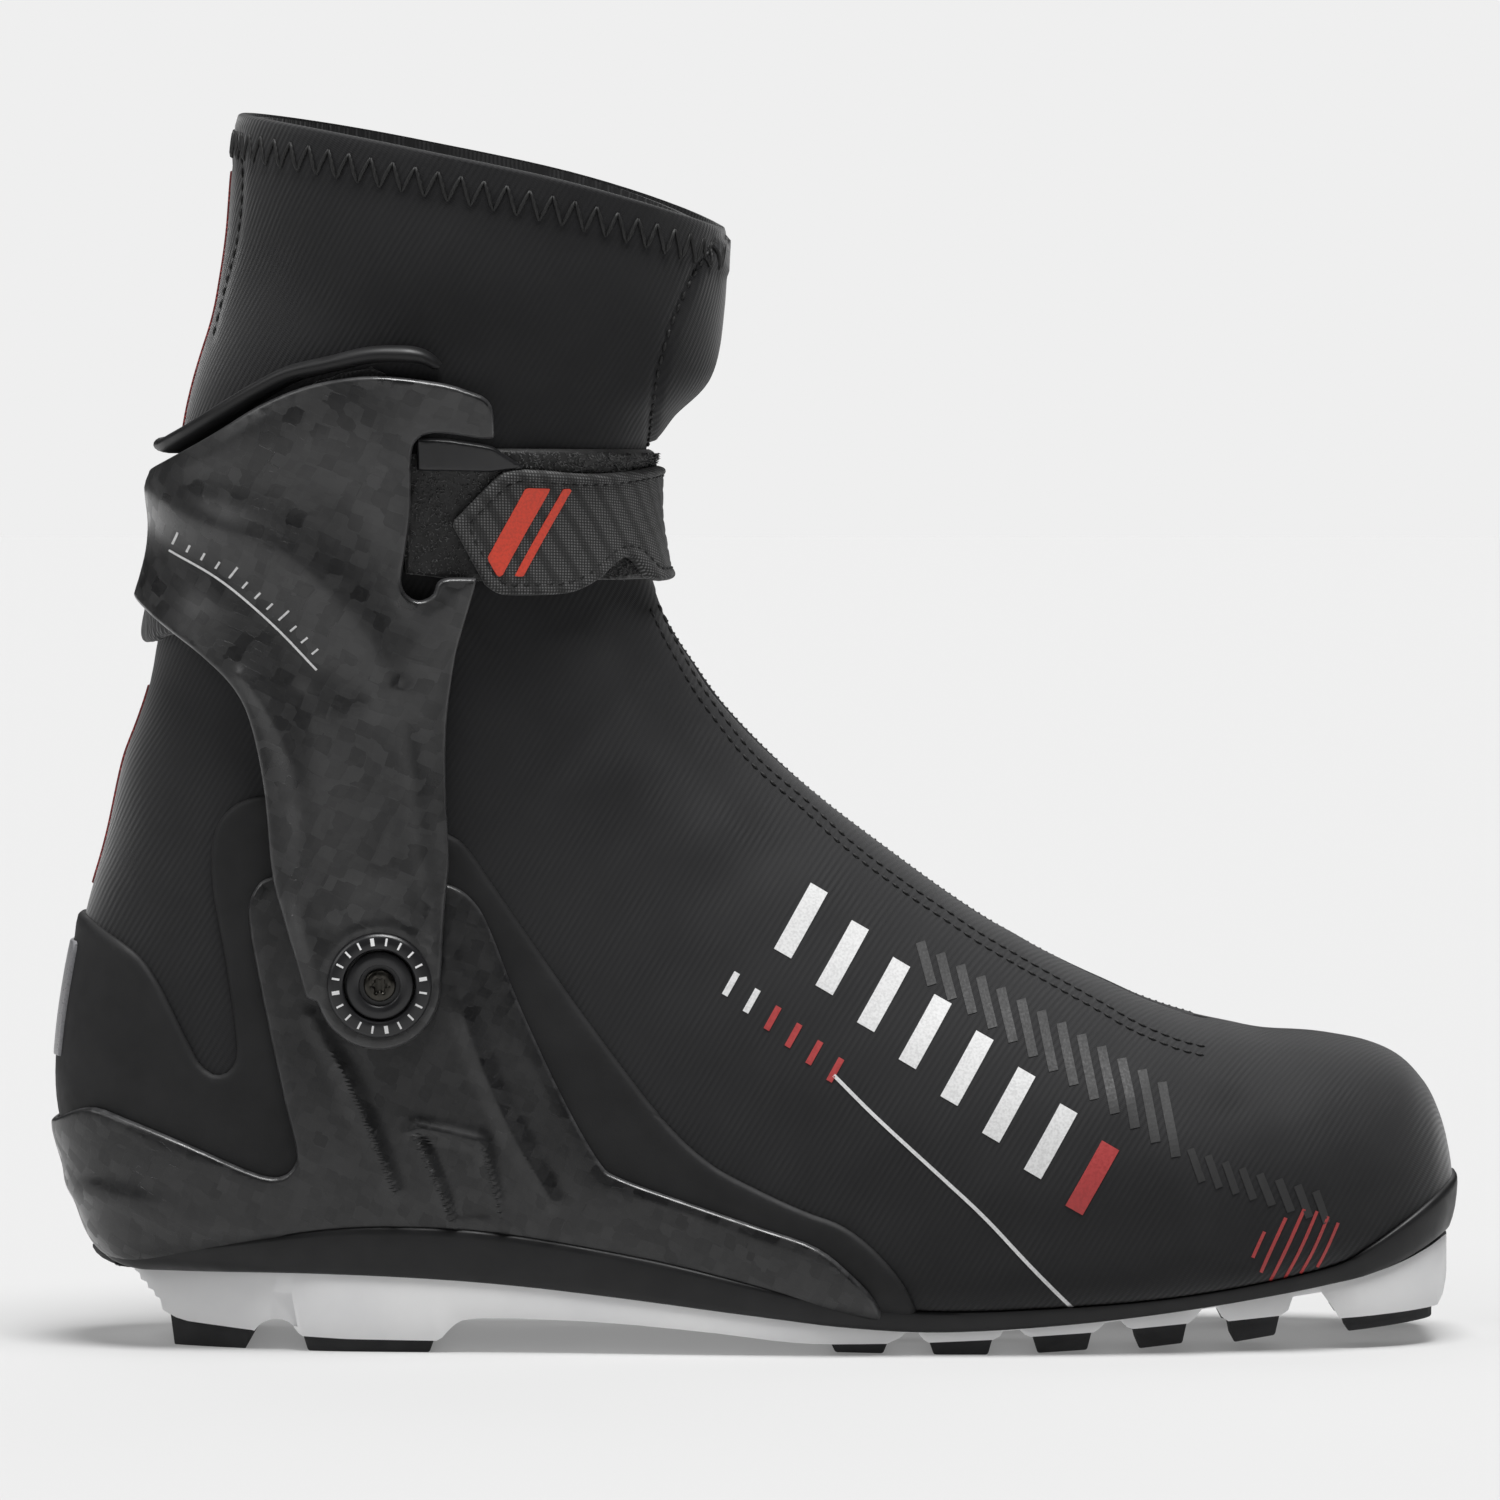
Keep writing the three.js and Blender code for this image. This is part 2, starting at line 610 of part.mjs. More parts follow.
// ---------------------------------------------------------------- ankle pivots
function makePivot(side, suffix) {
  const skin = halfWidthAt(PIVOT.x, PIVOT.y);
  const [armOuter, armInner] = LAYER.cuff.map((distance) => skin + distance);
  const [chassisOuter, chassisInner] = LAYER.chassis.map((distance) => skin + distance);
  const capLow = armOuter + 0.5;
  const cap = [[7.5, capLow], [10.8, capLow], [10.4, capLow + 1.2], [7.9, capLow + 1.2], [7.5, capLow]];
  addMesh(`pivot_cap_${suffix}`, turned(cap, PIVOT, side), blackPlastic);
  const bushing = [[3.3, chassisInner + GAP], [4.1, chassisInner + GAP], [4.1, chassisOuter + GAP],
    [7, chassisOuter + GAP], [7, armOuter + 0.9], [4, armOuter + 1.1], [4, armInner + 1.2],
    [3.3, armInner + 1.2], [3.3, chassisInner + GAP]];
  addMesh(`pivot_bushing_${suffix}`, turned(bushing, PIVOT, side), blackPlastic);
  const nut = [[2.1, skin + GAP], [7, skin + GAP], [7, skin + 0.9],
    [3, skin + 0.9], [3, armInner - GAP], [2.1, armInner - GAP], [2.1, skin + GAP]];
  addMesh(`pivot_nut_${suffix}`, turned(nut, PIVOT, side), steel);
  const screw = [[0, skin + 1], [1.8, skin + 1], [1.8, armInner + 1.5], [3.4, armInner + 1.5],
    [3.4, armOuter + 0.2], [2.9, armOuter + 0.6], [1.6, armOuter + 0.6], [1.6, armOuter - 0.6],
    [0, armOuter - 0.6]];
  addMesh(`pivot_screw_${suffix}`, turned(screw, PIVOT, side), steel);
}

// ---------------------------------------------------------------- cuff
const ARM_END = 12.8; // radius of the arm's round lower end

const cuffOutline = [
  ...smooth([[-145, 176], [-125, 183], [-110, 191], [-95, 199.5], [-78, 202.8], [-62, 200.6],
    [-56, 197]], 12),
  ...points2([[-54.8, 190.3]]),
  ...smooth([[-66, 190.8], [-71.5, 187.5], [-72, 170], [-73.4, 160], [-70.4, 156.6],
    [-66.6, 160], [-59.2, 161]], 14),
  ...smooth([[-62.5, 147], [-65, 125], [-64, 104], [-64.9, 84]], 6),
  ...arc(PIVOT, ARM_END, 10, -165, 12).map((point) => point.add(new THREE.Vector2(-0.2, -0.6))),
  ...smooth([[-94, 80], [-98, 92], [-100.5, 108], [-102.5, 127], [-106.5, 138.5], [-116, 147.5],
    [-127, 157], [-145, 160]], 12),
];

const lipUpper = smooth([[-145, 181.5], [-124.5, 187.5], [-110, 194], [-95, 204], [-80, 208.6],
  [-69, 208.4], [-63.8, 202.6]], 14);
const lipLower = smooth([[-63.8, 202.4], [-70, 205.2], [-80, 205.2], [-95, 200.6], [-110, 190.8],
  [-124.5, 184.2], [-145, 178]], 14);
const LIP_DROP = 0.2;

function makeCuff() {
  const cuff = shell(LAYER.cuff).intersect(sidePrism(cuffOutline));
  addMesh('cuff', cuff.subtract(pivotHole(PIVOT_HOLE.arm)), carbon);
  addMesh('cuff_lip', shell(LAYER.lip).intersect(sidePrism([...lipUpper, ...lipLower])), rubber);
  const foamTop = lipLower.map((point) => new THREE.Vector2(point.x, point.y - GAP - LIP_DROP));
  const foamRegion = sidePrism([
    ...foamTop.filter((point) => point.x < -74.5).reverse(),
    ...points2([[-74.6, 200], [-74.6, 168]]),
    ...smooth([[-84, 162], [-104, 152], [-118, 148.6], [-127, 145.5], [-145, 144]], 8),
  ]);
  addMesh('cuff_foam', shell(LAYER.foam).intersect(foamRegion).intersect(cuffRegion), knit);
}

// ---------------------------------------------------------------- collar
function tapeRegion(low, high) {
  const half = 4;
  const outline = points2([[-170, low], [-105, low], [-105, high], [-170, high]]);
  return sidePrism(outline, -half, half);
}

function makeCollar() {
  const collar = shell(LAYER.upper).intersect(cuffRegion).subtract(collarSlot);
  addMesh('collar', collar.subtract(sliderChannel), softshell);
  const lining = shell(LAYER.lining).intersect(cuffRegion).subtract(sliderChannel);
  addMesh('collar_lining', lining, knit);
  addMesh('back_tape', shell(LAYER.tape).intersect(tapeRegion(191, 246)), redTape);
  addMesh('heel_tape', shell(LAYER.tape).intersect(tapeRegion(96, 138)), redTape);
}

// ---------------------------------------------------------------- strap
const STRAP_TIP = points2([[-63.3, 172.5], [-53, 183.8], [-45, 184.3], [-19, 185.2], [10, 185.2],
  [10, 158.8], [-22, 158.8], [-25, 159.2], [-30, 164], [-35.3, 160.2], [-42, 157.6],
  [-51.5, 157.6], [-58, 159.6]]);
const STRAP_END = -57.5; // the strap's sewn end on the medial side
const HINGE_GAP = 0.8;

function makeStrap() {
  const loopOutline = points2([[-73, 186], [-60, 187.5], [10, 187.5], [10, 160.4], [-60, 160.4],
    [-72.6, 162]]);
  addMesh('loop_strap', shell(LAYER.loopStrap).intersect(sidePrism(loopOutline)), pile);
  const patch = points2([[-60, 172.5], [-52, 181], [-33, 181.5], [-33, 163], [-41, 161],
    [-55, 162.5]]);
  addMesh('hook_patch', shell(LAYER.hookPatch).intersect(sidePrism(patch, -FAR / 2, 0)), blackPlastic);
  const strap = shell(LAYER.hookStrap);
  const lateral = strap.intersect(sidePrism(STRAP_TIP, -FAR / 2, 0));
  const medialOutline = points2([[STRAP_END, 184.8], [10, 185.2], [10, 158.8], [STRAP_END, 159.4]]);
  const medial = strap.intersect(sidePrism(medialOutline, -0.01, FAR / 2));
  addMesh('hook_strap', lateral.add(medial), webbing);
  const anchor = points2([[-71.4, 184.4], [STRAP_END - HINGE_GAP, 184.8],
    [STRAP_END - HINGE_GAP, 159.8], [-71.4, 163]]);
  const rivetHole = sidePrism(arc(new THREE.Vector2(-65, 172), 2.3, 0, 330, 11), 0, FAR / 2);
  const plate = shell([4.4, 2.5]).intersect(sidePrism(anchor, 0, FAR / 2));
  addMesh('strap_anchor', plate.subtract(rivetHole), webbing);
  const rivet = [[0, 38.4], [2, 38.4], [2, 40.8], [4, 40.8], [3.2, 42], [0, 42.4]];
  addMesh('strap_rivet', turned(rivet, new THREE.Vector2(-65, 172), 1), steel);
  const guide = points2([[-70.4, 189.6], [-57, 189.2], [-53, 187.2], [-49, 185], [-56, 183.6],
    [-66, 183.6]]);
  addMesh('strap_guide', shell([4.3, 2.5]).intersect(sidePrism(guide, -FAR / 2, 0)), blackPlastic);
}

// ---------------------------------------------------------------- zip slider
const ZIP_AXIS = new THREE.Vector2(4, 34).normalize(); // upward along the straight front of the collar
const ZIP_OUT = new THREE.Vector2(ZIP_AXIS.y, -ZIP_AXIS.x);
const SLIDER_BASE = new THREE.Vector2(-13.6, 221.2); // on the zip's face, at the slider's lower end
const SLIDER = { length: 9.6, half: 4.2, thick: 3, lift: 0.4 };
const PULL = { length: 14.5, half: 3, thick: 1.1, top: 4.6 }; // hangs straight down

// Side-view point at a height along the zip and a distance out of it.
function zipPoint(up, out) {
  return SLIDER_BASE.clone().addScaledVector(ZIP_AXIS, up).addScaledVector(ZIP_OUT, out);
}

function makeSlider() {
  const back = SLIDER.lift;
  const face = SLIDER.lift + SLIDER.thick;
  const body = sidePrism([zipPoint(0, back), zipPoint(SLIDER.length, back),
    zipPoint(SLIDER.length - 1.2, face), zipPoint(1, face)], -SLIDER.half, SLIDER.half);
  addMesh('zip_slider', body, steel);
  const hanger = zipPoint(PULL.top, face + GAP + PULL.thick / 2);
  const low = new THREE.Vector3(hanger.x - PULL.thick / 2, -PULL.half, hanger.y - PULL.length);
  const high = new THREE.Vector3(hanger.x + PULL.thick / 2, PULL.half, hanger.y);
  addMesh('zip_pull', block(low, high), blackPlastic);
}

// ---------------------------------------------------------------- assembly
makeRand();
makeOutsole();
makeTreads();
makeToeBar();
makeUpper();
makeInsole();
makeTongue();
makeZip();
makeHeel();
makePivot(-1, 'lateral');
makePivot(1, 'medial');
makeCuff();
makeCollar();
makeStrap();
makeSlider();

// The origin is the middle of the boot's box, on the floor.
const bounds = new THREE.Box3().setFromObject(boot);
const middle = bounds.getCenter(new THREE.Vector3());
boot.position.set(-middle.x, -middle.y, -bounds.min.z);

export default boot;
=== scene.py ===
"""Cross country skate boot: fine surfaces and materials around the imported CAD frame.

Outlines are side views in the design's millimetres, +X to the toe and +Z up; the lateral side is -Y.
Every shell is the boot's skin surface, moved in or out and cut to a side-view outline."""

import math

import bmesh
import bpy
import numpy as np
from mathutils import Matrix, Vector


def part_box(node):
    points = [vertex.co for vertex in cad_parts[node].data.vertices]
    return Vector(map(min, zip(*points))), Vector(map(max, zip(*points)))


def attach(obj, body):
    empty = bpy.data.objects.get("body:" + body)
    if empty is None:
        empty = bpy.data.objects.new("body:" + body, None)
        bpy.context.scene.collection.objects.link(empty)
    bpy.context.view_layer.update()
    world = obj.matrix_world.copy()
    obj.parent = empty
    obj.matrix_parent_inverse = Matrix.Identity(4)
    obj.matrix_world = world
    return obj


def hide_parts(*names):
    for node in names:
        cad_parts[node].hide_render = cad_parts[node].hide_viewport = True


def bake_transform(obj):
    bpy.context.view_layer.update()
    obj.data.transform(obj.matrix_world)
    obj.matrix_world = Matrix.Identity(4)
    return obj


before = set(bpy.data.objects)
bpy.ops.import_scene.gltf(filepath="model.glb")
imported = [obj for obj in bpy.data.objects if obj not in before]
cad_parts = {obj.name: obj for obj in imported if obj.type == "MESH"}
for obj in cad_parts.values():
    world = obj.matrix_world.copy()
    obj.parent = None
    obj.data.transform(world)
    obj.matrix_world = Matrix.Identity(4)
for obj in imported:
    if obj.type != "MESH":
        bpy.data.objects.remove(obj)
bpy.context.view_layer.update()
RNG = np.random.default_rng(7)

MM = 0.001
BOOT, CUFF_BODY, STRAP, SLIDER, PULL = "boot", "cuff_assembly", "strap", "slider", "pull"
TAU = 2 * math.pi

# ------------------------------------------------------------------ where the design stands in the frame
BAR_CENTRE = (132.0, 7.0)  # the toe bar's centre in the design
bar_low, bar_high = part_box("toe_bar")
SHIFT = np.array([
    (bar_low.x + bar_high.x) / 2 - BAR_CENTRE[0] * MM,
    (bar_low.y + bar_high.y) / 2 - BAR_CENTRE[1] * MM,
    0.0,
])
PIVOT = np.array([-77.9, 76.6])


def place(points):
    """Design millimetres to metres in the frame."""
    return np.asarray(points, float) * MM + SHIFT


# ------------------------------------------------------------------ the skin surface
# Top x, z, bottom x, z, half width, centre y, widest place, top roundness, bottom squareness.
SECTIONS = np.array([
    [147.3, 31.5, 147.3, 30, 0.6, 8.5, 0.5, 2.2, 2.2],
    [146.5, 40.5, 146.8, 26.5, 12, 8.5, 0.5, 2.2, 2.2],
    [144.4, 48, 145, 23.4, 20, 8.5, 0.52, 2.2, 2.4],
    [140.8, 54.4, 141, 20.8, 27, 8, 0.56, 2.2, 2.8],
    [134, 60.3, 133, 18, 33.5, 7, 0.6, 2.2, 3.6],
    [121, 63.7, 118, 14.4, 40, 5, 0.63, 2.2, 4.6],
    [102, 66.2, 94, 10.4, 44.6, 2.8, 0.65, 2.2, 5.4],
    [78, 73.5, 66, 7.6, 47, 0.6, 0.67, 2.1, 6],
    [50, 87.8, 30, 6.6, 45.4, -2, 0.68, 2, 6],
    [25, 105.3, -8, 11.4, 40.4, -2.8, 0.68, 2, 6],
    [8, 118.8, -50, 19, 36.8, -1.8, 0.66, 2, 5.5],
    [-6, 132.8, -92, 20.4, 36.6, 0, 0.61, 2.1, 5],
    [-14, 143.8, -123, 18.6, 36, 0, 0.56, 2.2, 3.8],
    [-16.8, 148, -135.6, 21, 35.6, 0, 0.54, 2.2, 3.3],
    [-19, 152, -141.4, 33, 35.4, 0, 0.52, 2.2, 2.9],
    [-22, 160, -146.4, 52, 35.2, 0, 0.5, 2.2, 2.5],
    [-23.6, 167, -144, 78, 35.2, 0, 0.5, 2.2, 2.4],
    [-24.6, 176, -136.4, 108, 35.4, 0, 0.5, 2.2, 2.3],
    [-23.6, 186, -127.2, 143, 36, 0, 0.5, 2.2, 2.3],
    [-18, 194.4, -122, 170, 37, 0, 0.5, 2.2, 2.3],
    [-10, 203, -120, 195, 38.4, 0, 0.5, 2.3, 2.3],
    [-7.4, 217, -113.6, 219, 40, 0, 0.5, 2.3, 2.3],
    [-6.4, 233, -109, 256.5, 41, 0, 0.5, 2.3, 2.3],
])


OVER_RIM = 0.02  # the skin goes on past its last section by this share


def catmull(table, t):
    """Catmull-Rom curve through the rows of a table, at shares t of its length in rows."""
    last = len(table) - 1
    place_in = np.clip(t, 0, 1 + OVER_RIM) * last
    row = np.minimum(place_in.astype(int), last - 1)
    f = (place_in - row)[:, None]
    full = np.vstack([2 * table[0] - table[1], table, 2 * table[-1] - table[-2]])
    a, b, c, d = full[row], full[row + 1], full[row + 2], full[row + 3]
    return b + 0.5 * f * (c - a + f * (2 * a - 5 * b + 4 * c - d + f * (3 * (b - c) + d - a)))


def spline(points, steps):
    """Smooth line through given side-view or plan points."""
    return catmull(np.asarray(points, float), np.linspace(0, 1, steps + 1))


def skin(u, angle):
    """Points of the skin: u from toe tip to collar rim, angle from the top line round the lateral side."""
    u, angle = np.broadcast_arrays(np.asarray(u, float), np.asarray(angle, float))
    s = catmull(SECTIONS, u)
    rise, side = np.cos(angle), np.sin(angle)
    power = np.where(rise > 0, s[:, 7], s[:, 8])
    reach = (np.abs(rise) ** power + np.abs(side) ** power) ** (-1 / power)
    widest = s[:, 6]
    share = np.where(rise > 0, widest * (1 - reach * rise), widest - (1 - widest) * reach * rise)
    return np.stack([
        s[:, 0] + (s[:, 2] - s[:, 0]) * share,
        s[:, 5] - s[:, 4] * reach * side,
        s[:, 1] + (s[:, 3] - s[:, 1]) * share,
    ], axis=1)


def unit(v):
    return v / np.maximum(np.linalg.norm(v, axis=1, keepdims=True), 1e-12)


def skin_normal(u, angle):
    step = 1e-3
    along = skin(np.minimum(u + step, 1 + OVER_RIM), angle) - skin(np.maximum(u - step, 0), angle)
    around = skin(u, angle + step) - skin(u, angle - step)
    return unit(np.cross(along, around))


def find_section(x, z):
    """The u whose section line passes through side-view points, by halving."""
    low, high = np.zeros_like(x), np.full_like(x, 1 + OVER_RIM)
    for _ in range(26):
        u = (low + high) / 2
        s = catmull(SECTIONS, u)
        past = (s[:, 2] - s[:, 0]) * (z - s[:, 1]) - (s[:, 3] - s[:, 1]) * (x - s[:, 0]) > 0
        high = np.where(past, u, high)
        low = np.where(past, low, u)
    return (low + high) / 2


def find_place(x, z):
    """The (u, angle) on the lateral side seen at side-view points."""
    x, z = np.asarray(x, float), np.asarray(z, float)
    u = find_section(x, z)
    s = catmull(SECTIONS, u)
    length = np.hypot(s[:, 2] - s[:, 0], s[:, 3] - s[:, 1])
    share = np.hypot(x - s[:, 0], z - s[:, 1]) / length
    upper = share < s[:, 6]
    rise = np.where(upper, 1 - share / s[:, 6], (share - s[:, 6]) / (1 - s[:, 6]))
    rise = np.clip(rise, 0, 0.9995)
    power = np.where(upper, s[:, 7], s[:, 8])
    side = (1 - rise ** power) ** (1 / power)
    return u, np.arctan2(side, np.where(upper, rise, -rise))


def on_skin(points, out=0.0, side=-1):
    """Side-view points carried onto the lateral (-1) or medial (1) side of the skin, moved out."""
    points = np.asarray(points, float)
    u, angle = find_place(points[:, 0], points[:, 1])
    angle = angle if side < 0 else TAU - angle
    return skin(u, angle) + skin_normal(u, angle) * np.reshape(out, (-1, 1))


# Arc length round each section from its widest lateral place, for cloth coordinates.
ARC_U = np.linspace(0, 1, 180)
ARC_ANGLE = np.linspace(0, math.pi, 91)


def arc_table():
    grid = [skin(np.full(ARC_ANGLE.size, u), ARC_ANGLE) for u in ARC_U]
    steps = np.array([np.linalg.norm(np.diff(row, axis=0), axis=1) for row in grid])
    arcs = np.concatenate([np.zeros((ARC_U.size, 1)), np.cumsum(steps, axis=1)], axis=1)
    return arcs - arcs[:, [ARC_ANGLE.size // 2]]


ARCS = arc_table()


def cloth_place(u, angle):
    """Flat coordinates in millimetres that keep a weave's size all round the boot."""
    turned = np.mod(angle, TAU)
    folded = np.where(turned > math.pi, TAU - turned, turned)
    row = np.clip(u, 0, 1) * (ARC_U.size - 1)
    column = folded / math.pi * (ARC_ANGLE.size - 1)
    r, c = np.minimum(row.astype(int), ARC_U.size - 2), np.minimum(column.astype(int), ARC_ANGLE.size - 2)
    fr, fc = row - r, column - c
    near = ARCS[r, c] * (1 - fc) + ARCS[r, c + 1] * fc
    far = ARCS[r + 1, c] * (1 - fc) + ARCS[r + 1, c + 1] * fc
    arc = near * (1 - fr) + far * fr
    s = catmull(SECTIONS, u)
    top, bottom = s[:, 0:2], s[:, 2:4]
    direction = unit(bottom - top)
    middle = top + (bottom - top) * s[:, [6]]
    return middle + direction * arc[:, None]


# ------------------------------------------------------------------ outlines
def signed_distance(points, outline):
    """Distance to a closed side-view outline, positive inside."""
    start, end = outline, np.roll(outline, -1, axis=0)
    best = np.full(len(points), 1e9)
    inside = np.zeros(len(points), bool)
    for a, b in zip(start, end):
        edge = b - a
        rel = points - a
        t = np.clip(rel @ edge / max(edge @ edge, 1e-12), 0, 1)
        best = np.minimum(best, np.hypot(rel[:, 0] - t * edge[0], rel[:, 1] - t * edge[1]))
        if a[1] != b[1]:
            crosses = (a[1] > points[:, 1]) != (b[1] > points[:, 1])
            where = a[0] + (points[:, 1] - a[1]) / (b[1] - a[1]) * edge[0]
            inside ^= crosses & (points[:, 0] < where)
    return np.where(inside, best, -best)


def line_distance(points, line):
    """Distance to an open side-view line."""
    best = np.full(len(points), 1e9)
    for a, b in zip(line[:-1], line[1:]):
        edge, rel = b - a, points - a
        t = np.clip(rel @ edge / max(edge @ edge, 1e-12), 0, 1)
        best = np.minimum(best, np.hypot(rel[:, 0] - t * edge[0], rel[:, 1] - t * edge[1]))
    return best


def ridge(points, line, width):
    """1 on a line, falling smoothly to 0 over a width."""
    return np.exp(-(line_distance(points, line) / width) ** 2)


def arc(centre, radius, start, end, steps):
    turn = np.radians(np.linspace(start, end, steps + 1))
    return np.stack([centre[0] + radius * np.cos(turn), centre[1] + radius * np.sin(turn)], axis=1)


def join(*parts):
    return np.vstack([np.asarray(part, float) for part in parts])


# ------------------------------------------------------------------ meshes
def new_object(name, points, faces, material, smooth=True, cloth=None, edge=None):
    """Mesh object from design millimetres. Cloth coordinates and distances to the rim are kept with it."""
    mesh = bpy.data.meshes.new(name)
    mesh.from_pydata(place(points).tolist(), [], [list(map(int, f)) for f in faces])
    if cloth is not None:
        attribute = mesh.attributes.new("cloth", "FLOAT_VECTOR", "POINT")
        flat = np.column_stack([cloth * MM, np.zeros(len(cloth))])
        attribute.data.foreach_set("vector", flat.astype(np.float32).ravel())
    if edge is not None:
        attribute = mesh.attributes.new("edge", "FLOAT", "POINT")
        attribute.data.foreach_set("value", edge.astype(np.float32))
    mesh.validate()
    if smooth:
        mesh.shade_smooth()
    obj = bpy.data.objects.new(name, mesh)
    bpy.context.scene.collection.objects.link(obj)
    mesh.materials.append(material)
    return obj


def weld(obj, distance=2e-5):
    """Joins vertices that lie together."""
    bm = bmesh.new()
    bm.from_mesh(obj.data)
    bmesh.ops.remove_doubles(bm, verts=bm.verts, dist=distance)
    bmesh.ops.recalc_face_normals(bm, faces=bm.faces)
    bm.to_mesh(obj.data)
    bm.free()
    return obj


def sharpen(obj, degrees=38):
    obj.data.set_sharp_from_angle(angle=math.radians(degrees))
    return obj


def cut_at(params, triangles, field, level):
    """Splits triangles along a level of a field given at their corners."""
    value = field - level
    value = np.where(np.abs(value) < 1e-9, 1e-9, value)
    above = value > 0
    count = above[triangles].sum(axis=1)
    mixed = (count > 0) & (count < 3)
    kept, cut = triangles[~mixed], triangles[mixed]
    if not len(cut):
        return params, triangles, field
    alone_is_above = count[mixed] == 1
    lone = np.argmax(above[cut] == alone_is_above[:, None], axis=1)
    rows = np.arange(len(cut))
    a, b, c = cut[rows, lone], cut[rows, (lone + 1) % 3], cut[rows, (lone + 2) % 3]
    pairs = np.sort(np.vstack([np.stack([a, b], 1), np.stack([a, c], 1)]), axis=1)
    edges, index = np.unique(pairs, axis=0, return_inverse=True)
    index = index.reshape(-1)
    va, vb = value[edges[:, 0]], value[edges[:, 1]]
    t = (va / (va - vb))[:, None]
    fresh = params[edges[:, 0]] * (1 - t) + params[edges[:, 1]] * t
    p, q = len(params) + index[:len(cut)], len(params) + index[len(cut):]
    triangles = np.vstack([kept, np.stack([a, p, q], 1), np.stack([p, b, c], 1), np.stack([p, c, q], 1)])
    return np.vstack([params, fresh]), triangles, np.concatenate([field, np.full(len(edges), level)])


def boundary_edges(triangles):
    """Edges with one triangle, in that triangle's direction."""
    edges = np.vstack([triangles[:, [0, 1]], triangles[:, [1, 2]], triangles[:, [2, 0]]])
    key = np.sort(edges, axis=1)
    _, first, count = np.unique(key, axis=0, return_index=True, return_counts=True)
    return edges[first[count == 1]]


def even_steps(limits, spacing, lines):
    """Values between two limits that step evenly in millimetres along lines over the skin."""
    fine = np.linspace(*limits, 400)
    step = np.mean([np.linalg.norm(np.diff(line, axis=0), axis=1) for line in lines(fine)], axis=0)
    length = np.concatenate([[0], np.cumsum(step)])
    count = max(6, round(length[-1] / spacing))
    values = np.interp(np.linspace(0, length[-1], count + 1), length, fine)
    values[0], values[-1] = limits
    return values


def skin_grid(u_range, angle_range, spacing):
    """Triangulated grid over part of the skin, about spacing millimetres between points."""
    middle = (angle_range[0] + angle_range[1]) / 2
    guides = (0, math.pi / 2, middle)
    rows = even_steps(u_range, spacing, lambda u: [skin(u, np.full_like(u, a)) for a in guides])
    columns = even_steps(angle_range, spacing, lambda a: [skin(np.full_like(a, np.mean(u_range)), a)])
    u, angle = np.meshgrid(rows, columns, indexing="ij")
    index = np.arange(u.size).reshape(u.shape)
    a, b = index[:-1, :-1].ravel(), index[1:, :-1].ravel()
    c, d = index[1:, 1:].ravel(), index[:-1, 1:].ravel()
    triangles = np.vstack([np.stack([a, b, c], 1), np.stack([a, c, d], 1)])
    return np.stack([u.ravel(), angle.ravel()], axis=1), triangles


def rounded(distance, radius):
    """Share of full height at a distance from an edge with a quarter-round rim."""
    inward = 1 - np.clip(distance / radius, 0, 1)
    return np.sqrt(np.clip(1 - inward ** 2, 0, 1))


def skin_piece(name, material, outline, outer, inner, u_range=(0, 1), angle_range=(-math.pi, math.pi),
               spacing=1.8, rim=0.8, relief=None, field=None, wall=0.35):
    """Closed shell over the skin inside a side-view outline, with a rounded rim.

    outer and inner are its distances from the skin. relief adds height from side-view points,
    angles and distance to the rim. field replaces the outline's distance."""
    params, triangles = skin_grid(u_range, angle_range, spacing)
    points = skin(params[:, 0], params[:, 1])
    near = points[:, [0, 2]]
    distance = field(points, params) if field else signed_distance(near, outline)
    far_in = distance[triangles].max(axis=1) > -2 * spacing
    triangles = triangles[far_in]
    for level in [0.0] + [rim * (1 - math.cos(k * math.pi / 8)) for k in (1, 2, 3, 4)]:
        params, triangles, distance = cut_at(params, triangles, distance, level)
    triangles = triangles[distance[triangles].max(axis=1) > 1e-6]
    used = np.unique(triangles)
    index = np.full(len(params), -1)
    index[used] = np.arange(len(used))
    params, distance, triangles = params[used], distance[used], index[triangles]
    distance = np.maximum(distance, 0)
    points = skin(params[:, 0], params[:, 1])
    normal = skin_normal(params[:, 0], params[:, 1])
    height = inner + (outer - inner) * (wall + (1 - wall) * rounded(distance, rim))
    if relief:
        height = height + relief(points[:, [0, 2]], params, distance)
    top = points + normal * height[:, None]
    under = points + normal * inner
    tip = params[:, 0] <= 0
    if tip.any():
        top[tip], under[tip] = top[tip].mean(axis=0), under[tip].mean(axis=0)
    count = len(points)
    edges = boundary_edges(triangles)
    if angle_range[1] - angle_range[0] > TAU - 1e-6:
        seam = np.abs(np.abs(params[:, 1] - angle_range[0] - math.pi) - math.pi) < 1e-6
        edges = edges[~(seam[edges[:, 0]] & seam[edges[:, 1]])]
    sides = np.stack([edges[:, 1], edges[:, 0], edges[:, 0] + count, edges[:, 1] + count], axis=1)
    flat = cloth_place(params[:, 0], params[:, 1])
    faces = triangles.tolist() + (triangles[:, ::-1] + count).tolist() + sides.tolist()
    return sharpen(weld(new_object(
        name, np.vstack([top, under]), faces, material,
        cloth=np.vstack([flat, flat]), edge=np.concatenate([distance, np.zeros(count)]))))


def reach(outline, side):
    """Part of the skin that holds a small outline on the lateral (-1) or medial (1) side."""
    u, angle = find_place(outline[:, 0], outline[:, 1])
    pad_u, pad_angle = 0.006, 0.05
    low, high = angle.min() - pad_angle, angle.max() + pad_angle
    if side > 0:
        low, high = TAU - high, TAU - low
    return (max(u.min() - pad_u, 0), min(u.max() + pad_u, 1 + OVER_RIM)), (low, high)


